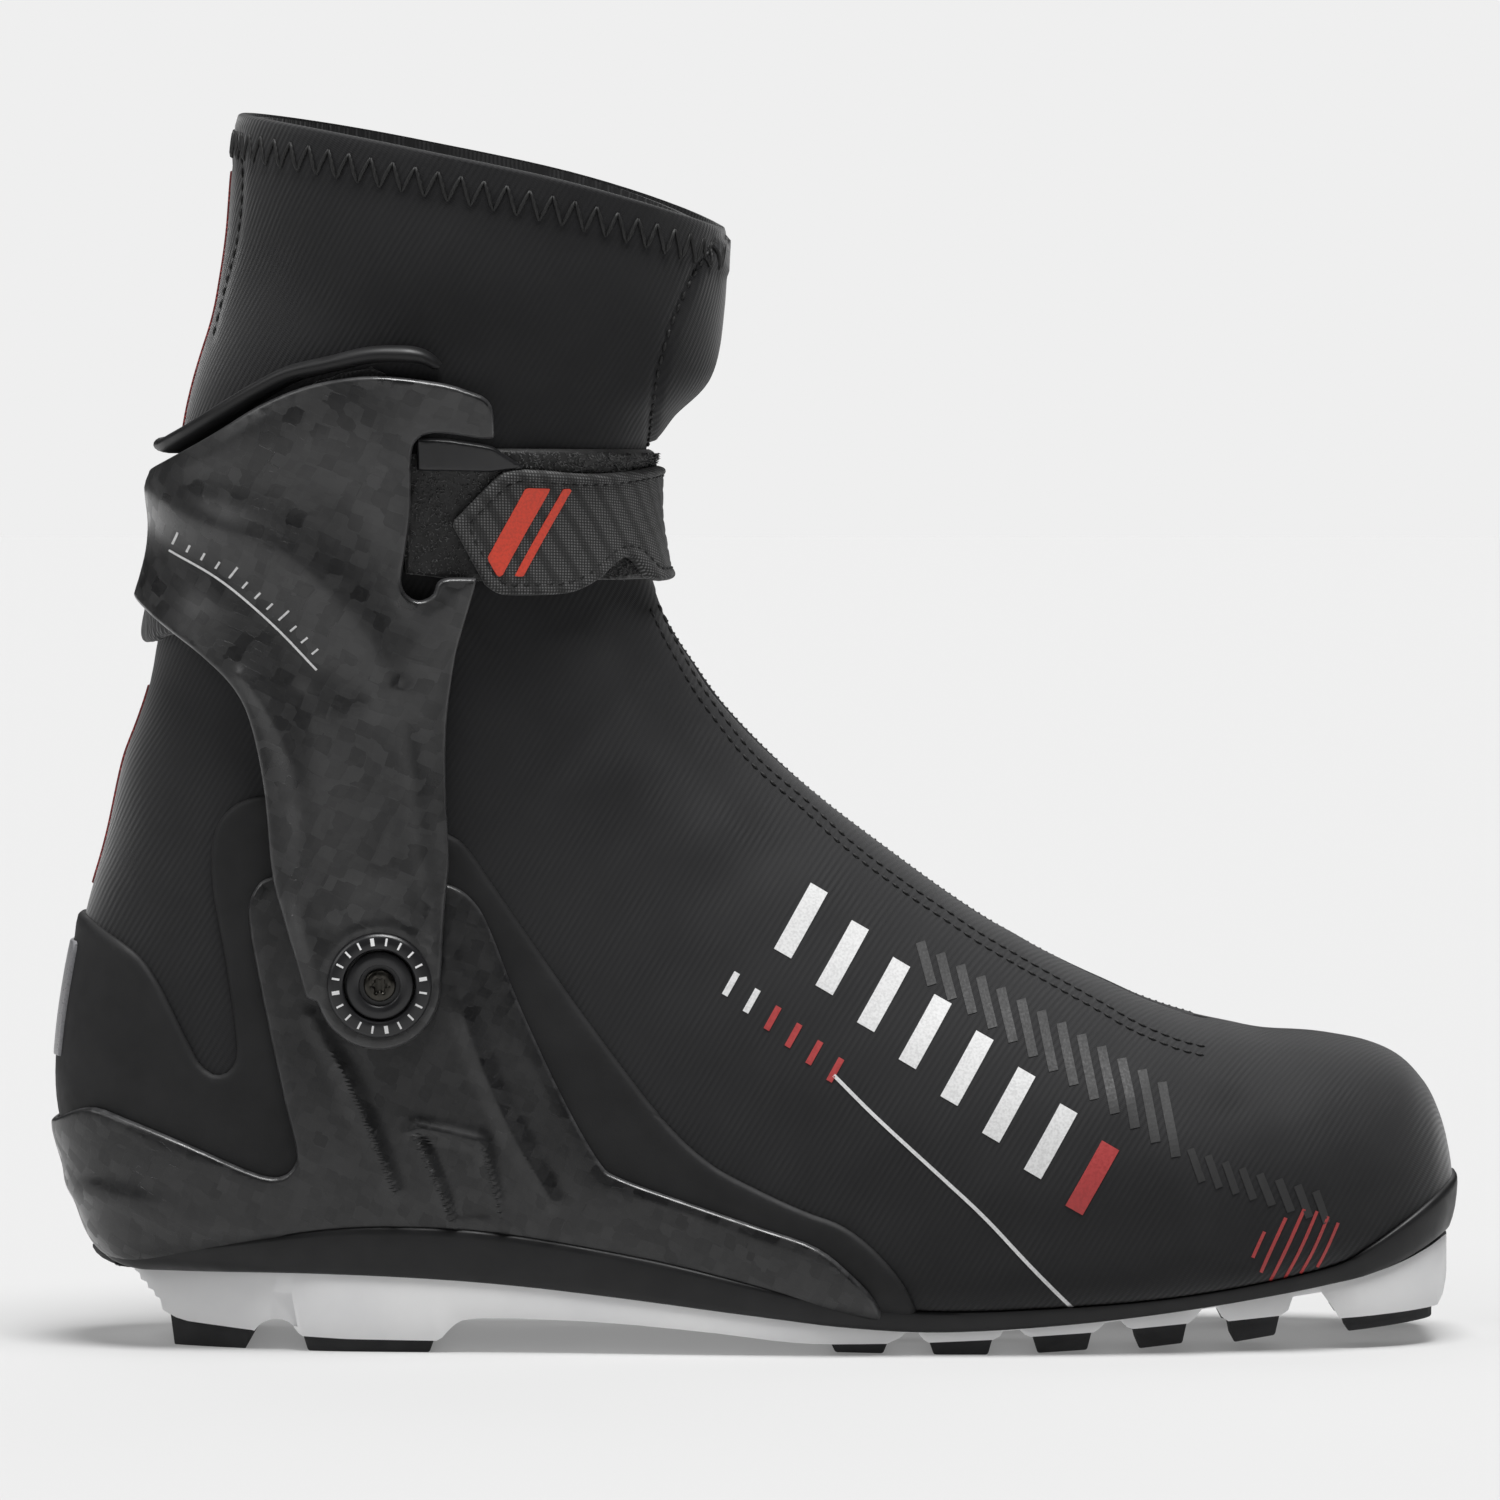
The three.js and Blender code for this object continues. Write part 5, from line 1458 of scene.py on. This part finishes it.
def make_hairs(name, field, height, count, body):
    """Short curled fibres standing on the loop pile where the outline leaves it open."""
    u = RNG.uniform(*FRONT_BAND["u_range"], count * 9)
    angle = RNG.uniform(*FRONT_BAND["angle_range"], count * 9)
    params = np.stack([u, angle], axis=1)
    points = skin(u, angle)
    keep = np.flatnonzero(field(points, params) > 0.1)[:count]
    params = params[keep]
    root = lifted(params, height - 0.1)
    normal = skin_normal(params[:, 0], params[:, 1])
    lean = RNG.normal(0, 0.75, (len(root), 3))
    curl = RNG.normal(0, 0.55, (len(root), 3))
    length = RNG.uniform(0.6, 1.25, (len(root), 1))
    middle = root + unit(normal + lean * 0.6) * length * 0.6
    tip = middle + unit(normal * 0.4 + curl) * length * 0.5
    points, faces = [], []
    corner = np.array([[math.cos(t), math.sin(t)] for t in (0, TAU / 3, 2 * TAU / 3)])
    _, side, up = frames_along(np.stack([root[0], middle[0], tip[0]]))
    for line in zip(root, middle, tip):
        start = len(points)
        for spot, radius in zip(line, (0.1, 0.09, 0.05)):
            points += [spot + radius * (c[0] * side[0] + c[1] * up[0]) for c in corner]
        faces.append((start, start + 2, start + 1))
        for ring in (0, 3):
            for j in range(3):
                a, b = start + ring + j, start + ring + (j + 1) % 3
                faces.append((a, b, b + 3, a + 3))
        faces.append((start + 6, start + 7, start + 8))
    hairs = new_object(name, np.array(points), faces, FIBRE)
    finish_piece(hairs, body, "loop_pile")


LOOP_REGION = two_sided(LOOP, LOOP)
HOOK_REGION = two_sided(HOOK_LATERAL, HOOK_MEDIAL)


def open_pile(points, params):
    return np.minimum(LOOP_REGION(points, params), 1.2 - HOOK_REGION(points, params))


def make_loop_strap():
    loop = skin_piece("pile_loop_strap", PILE, None, LOOP_TOP, 0.3, **FRONT_BAND, field=LOOP_REGION,
                      spacing=1.3, rim=0.9,
                      relief=lambda near, params, distance: 0.18 * smooth_noise(near, 2.2, 51))
    finish_piece(loop, CUFF_BODY, "loop_pile", "loop_strap")
    make_hairs("pile_fibres", open_pile, LOOP_TOP, HAIRS, CUFF_BODY)


def slanted_bar(low, width):
    """Outline of a printed bar from its lower rear corner."""
    foot, head, lean = 161.4, 180.4, 9.4
    return np.array([(low, foot), (low + width, foot), (low + width + lean, head), (low + lean, head)])


def make_hook_strap():
    hook = skin_piece("woven_hook_strap", WEBBING, None, HOOK_TOP, 3.3, **FRONT_BAND, field=HOOK_REGION,
                      spacing=1.1, rim=0.5, relief=hook_relief)
    finish_piece(hook, STRAP, "strap_webbing", "hook_strap")
    hem = []
    for line in contour(HOOK_REGION, 2.3, **FRONT_BAND):
        hem += stitches(lifted(line, HOOK_TOP - 0.08), 2.6, 0.24)
    finish_piece(many("strap_hem_stitches", hem, THREAD), STRAP, "strap_webbing")
    bars = []
    for low, width in ((-58.9, 4.6), (-51.9, 1.7)):
        outline = slanted_bar(low, width)
        bars.append(patch("bar", ORANGE_PRINT, outline, HOOK_TOP + 0.2, 4, spacing=0.8, rim=0.06, wall=0.97,
                          field=on_hook(outline), relief=hook_ink_relief))
    finish_piece(joined("orange_strap_bars", bars), STRAP, "strap_webbing")
    plate = patch("hook_patch_plate", PLASTIC, HOOK_PATCH, 3.1, 2.5, spacing=1.2, rim=0.15)
    finish_piece(plate, STRAP, "strap_webbing", "hook_patch")


def make_strap_fittings():
    """The medial anchor with its rivet, and the lateral guide."""
    anchor = patch("strap_anchor_plate", WEBBING, ANCHOR, 4.4, 2.5, side=1, spacing=1.2, rim=0.5)
    finish_piece(anchor, CUFF_BODY, "strap_webbing", "strap_anchor")
    rivet = ring_object("strap_rivet_dome", turned(RIVET, 1, RIVET_CENTRE, 40), STEEL)
    finish_piece(rivet, CUFF_BODY, "pivot_steel", "strap_rivet")
    guide = patch("strap_guide_plate", PLASTIC, GUIDE, 4.3, 2.4, spacing=0.9, rim=0.7)
    finish_piece(guide, CUFF_BODY, "pivot_plastic", "strap_guide")


# ------------------------------------------------------------------ zip
ZIP_FACE = spline([(-13.6, 232), (-15.6, 214), (-17.6, 197.5), (-20.8, 192), (-24.2, 186), (-25.1, 176),
                   (-24.1, 167), (-23.0, 160.5)], 60)
TOOTH_PITCH = 1.5


def strip_rings(line, profile):
    """Rings of a strip along a side-view line; the profile is y and distance in front of the line."""
    ahead = unit(np.gradient(line, axis=0))
    front = np.stack([-ahead[:, 1], ahead[:, 0]], axis=1)
    rings = []
    for point, out in zip(line, front):
        rings.append([(point[0] + out[0] * d, y, point[1] + out[1] * d) for y, d in profile])
    return rings


TAPE_PROFILE = [(-3.5, -0.3), (-3.1, 0), (-0.5, 0.05), (-0.25, -0.35), (0.25, -0.35), (0.5, 0.05), (3.1, 0),
                (3.5, -0.3), (3.5, -1.1), (-3.5, -1.1)]


def teeth_along(line, side_offset=0.5):
    """Coil teeth lying across the slit, alternately from each side."""
    made = []
    spots = resample(line, TOOTH_PITCH)
    for k, (a, b) in enumerate(zip(spots[:-1], spots[1:])):
        y = side_offset if k % 2 else -side_offset
        middle = (a + b) / 2
        line = [(middle[0], y + reach_y, middle[1]) for reach_y in (-0.9, 0, 0.9)]
        made.append(tube(line, [0.2, 0.34, 0.2], 6))
    return made


def lower_zip_line():
    u = np.linspace(0, 1, 4000)
    top = catmull(SECTIONS, u)[:, 0:2]
    u = np.linspace(u[np.argmax(top[:, 0] < 92.3)], u[np.argmax(top[:, 0] < -19)], 90)
    flat = skin(u, np.zeros_like(u)) - 0.15 * skin_normal(u, np.zeros_like(u))
    return flat[:, [0, 2]]


def zip_half(place_name, line, body, node):
    """Tape and teeth along a side-view line."""
    tape = ring_object(f"zip_tape_{place_name}", strip_rings(line, TAPE_PROFILE), ZIP_TAPE)
    finish_piece(tape, body, "zip_plastic", node)
    finish_piece(many(f"zip_teeth_{place_name}", teeth_along(line), PLASTIC), body, "zip_plastic")


def facing_ring(point, rim_x, side):
    """Section of a facing from beside the tape out to the rim of the recess, with its underside."""
    face = [(point[0] - 0.6, 3.3), (point[0] + 0.3, 4.7), (rim_x - 0.7, 5.0)]
    under = [(rim_x - 0.9, 5.9), (point[0] - 0.6, 5.6), (point[0] - 1.5, 3.3)]
    return [(x, side * y, point[1]) for x, y in face + under]


def make_zip():
    zip_half("instep", lower_zip_line()[::-1], None, "zip_lower")
    zip_half("collar", ZIP_FACE, CUFF_BODY, "zip_upper")
    facings = []
    line = ZIP_FACE[ZIP_FACE[:, 1] > 189.5]
    for side in (-1, 1):
        u, angle = place_on_front(line[:, 1], CHANNEL_HALF - 0.4)
        edge = skin(u, angle if side < 0 else TAU - angle)
        facings.append(ring_mesh([facing_ring(point, rim[0], side) for point, rim in zip(line, edge)]))
    finish_piece(weld(many("collar_zip_facings", facings, ZIP_TAPE)), CUFF_BODY, "softshell")


def place_on_front(height, half):
    """(u, angle) on the lateral side of the front at heights, a half width off the centre line."""
    u, angle = np.full(len(height), 0.95), np.full(len(height), 0.3)
    for _ in range(30):
        here = skin(u, angle)
        u = u + (height - here[:, 2]) * 0.0012
        angle = angle + (half + here[:, 1]) * 0.012
    return u, angle


ZIP_AXIS = np.array([4, 34]) / math.hypot(4, 34)
ZIP_OUT = np.array([ZIP_AXIS[1], -ZIP_AXIS[0]])
SLIDER_BASE = np.array([-13.6, 221.2])
SLIDER_HALF = 4.1
PULL_HINGE = (4.6, 4.25)  # up the zip and out from it


def zip_point(up, out):
    return SLIDER_BASE + ZIP_AXIS * up + ZIP_OUT * out


def make_slider():
    outline = join([zip_point(0, 0.4), zip_point(9.6, 0.4), zip_point(9.2, 2.2), zip_point(7.4, 3.2),
                    zip_point(5.6, 3.3), zip_point(3, 3.3), zip_point(1, 2.4)])
    slider = solid_object(*prism(outline, "y", -SLIDER_HALF, SLIDER_HALF), STEEL)
    slider.name = "zip_slider_body"
    finish_piece(bevelled(slider, 0.7, 3), SLIDER, "zip_metal", "zip_slider")
    top = zip_point(*PULL_HINGE)
    outline = join(
        arc((0, -2.6), 2.6, 150, 30, 8), [(2.9, -9), (2.9, -12.6)], arc((0, -12), 2.6, -20, -160, 8),
        [(-2.9, -12.6), (-2.9, -9)])
    rings = [[(top[0] + t, y, top[1] + z) for y, z in outline] for t in (-0.55, 0.55)]
    pull = weld(new_object("rubber_zip_pull", *ring_mesh(rings), RUBBER, smooth=False), 1e-7)
    finish_piece(bevelled(pull, 0.3, 2), PULL, "zip_pull_rubber", "zip_pull")


# ------------------------------------------------------------------ seams
INSTEP_STITCH = spline([(-21, 155), (-17, 147), (-12, 138.5), (-6, 130), (0, 123), (10, 114), (20, 105),
                        (30, 97.5), (40, 90.7), (50, 84), (60, 78.3), (70, 72.7), (80, 67.5), (88, 64.3),
                        (94, 62.8)], 90)


def beside(line, distance):
    """A side-view line moved sideways."""
    ahead = unit(np.gradient(line, axis=0))
    return line + np.stack([ahead[:, 1], -ahead[:, 0]], axis=1) * distance


def sewn(name, lines, pitch, radius, slot, body=None, height=0.1):
    """Rows of stitches on both flanks of the fabric along side-view lines."""
    made = []
    for line in lines:
        relief = upper_relief(line, None, None)
        for side in (-1, 1):
            made += stitches(on_skin(line, relief + height, side), pitch, radius)
    finish_piece(many(name, made, THREAD), body, slot)


def rim_points(angle, depth):
    """Points of the collar's hem at a depth below the rim, found by halving."""
    low, high = np.full(len(angle), 0.9), np.full(len(angle), 1 + OVER_RIM)
    for _ in range(22):
        u = (low + high) / 2
        deep = below_rim(skin(u, angle)) > depth
        low, high = np.where(deep, u, low), np.where(deep, high, u)
    spots = skin(u, angle)
    relief = upper_relief(spots[:, [0, 2]], None, None)
    return spots + skin_normal(u, angle) * (relief + 0.16)[:, None]


ZIGZAG_STEPS = 29  # on each flank
ZIGZAG_HALF = 2.9  # half its height


def make_zigzag():
    made = []
    for side in (-1, 1):
        fine = np.linspace(0.3, math.pi - 0.02, 400)
        step = np.linalg.norm(np.diff(rim_points(fine, RIM_DROP), axis=0), axis=1)
        length = np.concatenate([[0], np.cumsum(step)])
        stops = np.interp(np.linspace(0, length[-1], 2 * ZIGZAG_STEPS + 1), length, fine)
        depth = RIM_DROP + ZIGZAG_HALF * np.where(np.arange(len(stops)) % 2 == 0, -1, 1)
        for k in range(len(stops) - 1):
            t = np.linspace(0.02, 0.98, 7)
            angles = stops[k] + (stops[k + 1] - stops[k]) * t
            depths = depth[k] + (depth[k + 1] - depth[k]) * t
            line = rim_points(angles if side < 0 else TAU - angles, depths)
            made.append(tube(line, 0.44 * np.array([0.5, 0.9, 1, 1, 1, 0.9, 0.5]), 6))
    finish_piece(many("rim_zigzag_stitch", made, THREAD), CUFF_BODY, "softshell")


def make_seams():
    sewn("instep_stitches", [INSTEP_STITCH, beside(INSTEP_STITCH, 1.7)], 2.6, 0.3, "softshell", None, 0.15)
    sewn("collar_front_stitches", [SEAM_FRONT], 2.9, 0.36, "softshell", CUFF_BODY, 0.3)
    sewn("collar_back_stitches", [SEAM_BACK], 2.9, 0.3, "softshell", CUFF_BODY, 0.25)
    make_zigzag()


# ------------------------------------------------------------------ printed marks
WHITE_FEET = (np.array([5.4, 82.8]), np.array([65.5, 30.4]))  # first and last of the eight bars
WHITE_LEAN, WHITE_WIDTH = np.array([7.6, 13.2]), 4.1
RED_SLANT = np.array([0.39, 0.92])
INK_TOP, INK_FOOT = 0.14, -0.9  # of a print, out from the fabric's relief and from the skin
MARK_TOP, MARK_FOOT = CUFF_FACES[0] + 0.1, 5.6  # of the marks on the cuff


def strip(line, width, height, depth, relief, across=4):
    """Closed thin strip along a side-view line on the lateral side, following a relief."""
    sides = np.linspace(-width / 2, width / 2, across)
    top = [on_skin(beside(line, o), relief(beside(line, o)) + height) for o in sides]
    under = [on_skin(beside(line, o), depth) for o in sides[::-1]]
    return ring_mesh(np.stack(top + under, axis=1))


def fabric_relief(near):
    return upper_relief(near, None, None)


def print_on_upper(name, material, strips):
    """Thin ink on the lateral fabric: side-view lines with their widths."""
    made = [strip(resample(line, 1.2), width, INK_TOP, INK_FOOT, fabric_relief) for line, width in strips]
    return finish_piece(weld(many(name, made, material, smooth=False), 1e-7), None, "softshell")


def row(first, last, count):
    """Even places from the first to the last."""
    return [first + (last - first) * k / (count - 1) for k in range(count)]


def bar(foot, lean, width):
    return np.stack([foot, foot + lean]), width


def make_prints():
    white = [bar(foot, WHITE_LEAN, WHITE_WIDTH) for foot in row(*WHITE_FEET, 8)]
    print_on_upper("white_side_bars", WHITE_PRINT, white[:-1])
    print_on_upper("red_side_bar", RED_PRINT, white[-1:])
    feet = row(np.array([-6.6, 74.3]), np.array([15, 56.8]), 6)
    small = [bar(foot, np.array([2.6, 4.6]), 1.3) for foot in feet]
    print_on_upper("white_small_dashes", WHITE_PRINT, small[:2])
    print_on_upper("red_small_dashes", RED_PRINT, small[2:])
    line = spline([(16, 58), (25, 49.2), (38, 37.4), (47, 29), (56, 19.4), (65.4, 9.8)], 30)
    print_on_upper("white_side_line", WHITE_PRINT, [(line, 0.75)])
    feet = row(np.array([36.5, 76.4]), np.array([86.5, 41]), 13)
    tone = [bar(foot, np.array([-2.4, 8.5 + 0.55 * k]), 2.0) for k, foot in enumerate(feet)]
    print_on_upper("grey_instep_bars", GREY_PRINT, tone)
    feet = row(np.array([92, 36]), np.array([118, 27]), 8)
    print_on_upper("grey_toe_bars", GREY_PRINT, [bar(foot, np.array([-2.4, 6.6]), 1.6) for foot in feet])
    lengths = (6, 12.5, 16.5, 15.6, 13.2, 10.2)
    middle = row(np.array([104.2, 22.6]), np.array([118.6, 22.2]), len(lengths))
    red = [bar(at - RED_SLANT * length / 2, RED_SLANT * length, 0.65) for at, length in zip(middle, lengths)]
    print_on_upper("red_toe_bars", RED_PRINT, red)


def on_cuff(near):
    return cuff_relief(near, None, signed_distance(near, CUFF))


def make_cuff_marks():
    """A thin line with small ticks beside it on the carbon cuff."""
    line = spline([(-117.5, 165.6), (-108, 159.6), (-98.6, 151), (-90.4, 141.8)], 24)
    spots = resample(line, 3.1)
    ahead = unit(np.gradient(spots, axis=0))
    marks = [(line, 0.45)]
    for k, spot in enumerate(spots[:-1]):
        up = np.array([-ahead[k, 1], ahead[k, 0]])
        marks.append((np.stack([spot + up * 1.5, spot + up * (3.2 if k % 4 else 4.4)]), 0.4))
    made = [strip(resample(line, 0.8), width, MARK_TOP, MARK_FOOT, on_cuff) for line, width in marks]
    finish_piece(weld(many("cuff_marks", made, WHITE_PRINT, smooth=False), 1e-7), CUFF_BODY, "carbon")


# ------------------------------------------------------------------ kept CAD nodes
KEPT = {
    "toe_bar": STEEL, "pivot_nut_lateral": STEEL, "pivot_nut_medial": STEEL, "toe_box": BOARD,
    "heel_counter": BOARD, "lasting_board": BOARD, "footbed": KNIT,
}


def make_kept():
    """The CAD's own solids with this file's materials."""
    for node, material in KEPT.items():
        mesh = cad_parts[node].data
        mesh.materials.clear()
        mesh.materials.append(material)


# ------------------------------------------------------------------ camera, light and floor
CAMERA_AIM = (-1.35, -38, 125.2)  # in the design
CAMERA_DISTANCE, CAMERA_RISE = 2.0, 1.75  # metres and degrees
CAMERA_WIDTH, SENSOR = 0.3105, 36  # width seen at the aim, and of the sensor in millimetres
BACKDROP = 0.863  # as bright as the floor
FLOOR_HALF = 20.0
SUNS = [  # name, strength, azimuth from the camera's side, elevation, spread
    ("key", 4.2, 30, 79, 30), ("heel_side", 0.75, -74, 38, 40), ("back", 0.5, 180, 40, 50),
]
FLOOR_COLOR, FLOOR_GLOW = (0.43, 0.43, 0.43), 0.175
SKY = (-0.1, 0.9, 0.10, 1.25)  # heights of the horizon and the top, and their strengths


def make_camera():
    aim = Vector(tuple(place(CAMERA_AIM)))
    rise = math.radians(CAMERA_RISE)
    data = bpy.data.cameras.new("camera")
    data.sensor_width = SENSOR
    data.lens = SENSOR * CAMERA_DISTANCE / CAMERA_WIDTH
    camera = bpy.data.objects.new("camera", data)
    bpy.context.scene.collection.objects.link(camera)
    camera.location = aim + Vector((0, -math.cos(rise), math.sin(rise))) * CAMERA_DISTANCE
    camera.rotation_euler = (math.pi / 2 - rise, 0, 0)
    data.clip_start, data.clip_end = 0.05, 60
    bpy.context.scene.camera = camera


def make_sun(name, strength, azimuth, elevation, spread):
    data = bpy.data.lights.new(name, "SUN")
    data.energy, data.angle = strength, math.radians(spread)
    sun = bpy.data.objects.new(name, data)
    bpy.context.scene.collection.objects.link(sun)
    a, e = math.radians(azimuth), math.radians(elevation)
    toward = Vector((math.sin(a) * math.cos(e), -math.cos(a) * math.cos(e), math.sin(e)))
    sun.rotation_euler = toward.to_track_quat("Z", "Y").to_euler()


def make_stage():
    mesh = bpy.data.meshes.new("floor")
    spots = [(x * FLOOR_HALF, y * FLOOR_HALF, 0) for x, y in ((-1, -1), (1, -1), (1, 1), (-1, 1))]
    mesh.from_pydata(spots, [], [(0, 1, 2, 3)])
    floor = bpy.data.objects.new("floor", mesh)
    bpy.context.scene.collection.objects.link(floor)
    f = Finish("pale_floor", FLOOR_COLOR, 0.9, Specular_IOR_Level=0.0, Emission_Strength=FLOOR_GLOW)
    f.set("Emission Color", (1, 1, 1, 1))
    mesh.materials.append(f.material)
    make_world()
    for sun in SUNS:
        make_sun(*sun)


def make_world():
    """A softbox sky, bright above and dim at the horizon, behind a plain pale backdrop."""
    world = bpy.data.worlds.new("studio")
    world.use_nodes = True
    tree = world.node_tree
    sky, out = tree.nodes["Background"], tree.nodes["World Output"]
    place_in = tree.nodes.new("ShaderNodeTexCoord")
    parts = tree.nodes.new("ShaderNodeSeparateXYZ")
    ramp = tree.nodes.new("ShaderNodeMapRange")
    for index, value in enumerate(SKY):
        ramp.inputs[index + 1].default_value = value
    tree.links.new(place_in.outputs["Generated"], parts.inputs[0])
    tree.links.new(parts.outputs["Z"], ramp.inputs[0])
    tree.links.new(ramp.outputs[0], sky.inputs["Strength"])
    backdrop = tree.nodes.new("ShaderNodeBackground")
    backdrop.inputs["Color"].default_value = (BACKDROP, BACKDROP, BACKDROP, 1)
    path, mix = tree.nodes.new("ShaderNodeLightPath"), tree.nodes.new("ShaderNodeMixShader")
    tree.links.new(path.outputs["Is Camera Ray"], mix.inputs[0])
    tree.links.new(sky.outputs[0], mix.inputs[1])
    tree.links.new(backdrop.outputs[0], mix.inputs[2])
    tree.links.new(mix.outputs[0], out.inputs["Surface"])
    bpy.context.scene.world = world
    bpy.context.scene.view_settings.view_transform = "Standard"


make_rand()
make_outsole()
make_treads()
make_upper()
make_lining()
make_tongue()
make_overlay()
make_chassis()
make_cuff()
make_lip()
make_pad()
make_tapes()
for pivot_side, pivot_name in ((-1, "lateral"), (1, "medial")):
    make_pivot(pivot_side, pivot_name)
make_loop_strap()
make_hook_strap()
make_strap_fittings()
make_zip()
make_slider()
make_seams()
make_prints()
make_cuff_marks()
make_kept()
make_camera()
make_stage()


def corners(box):
    return [list(box[0]), list(box[1])]
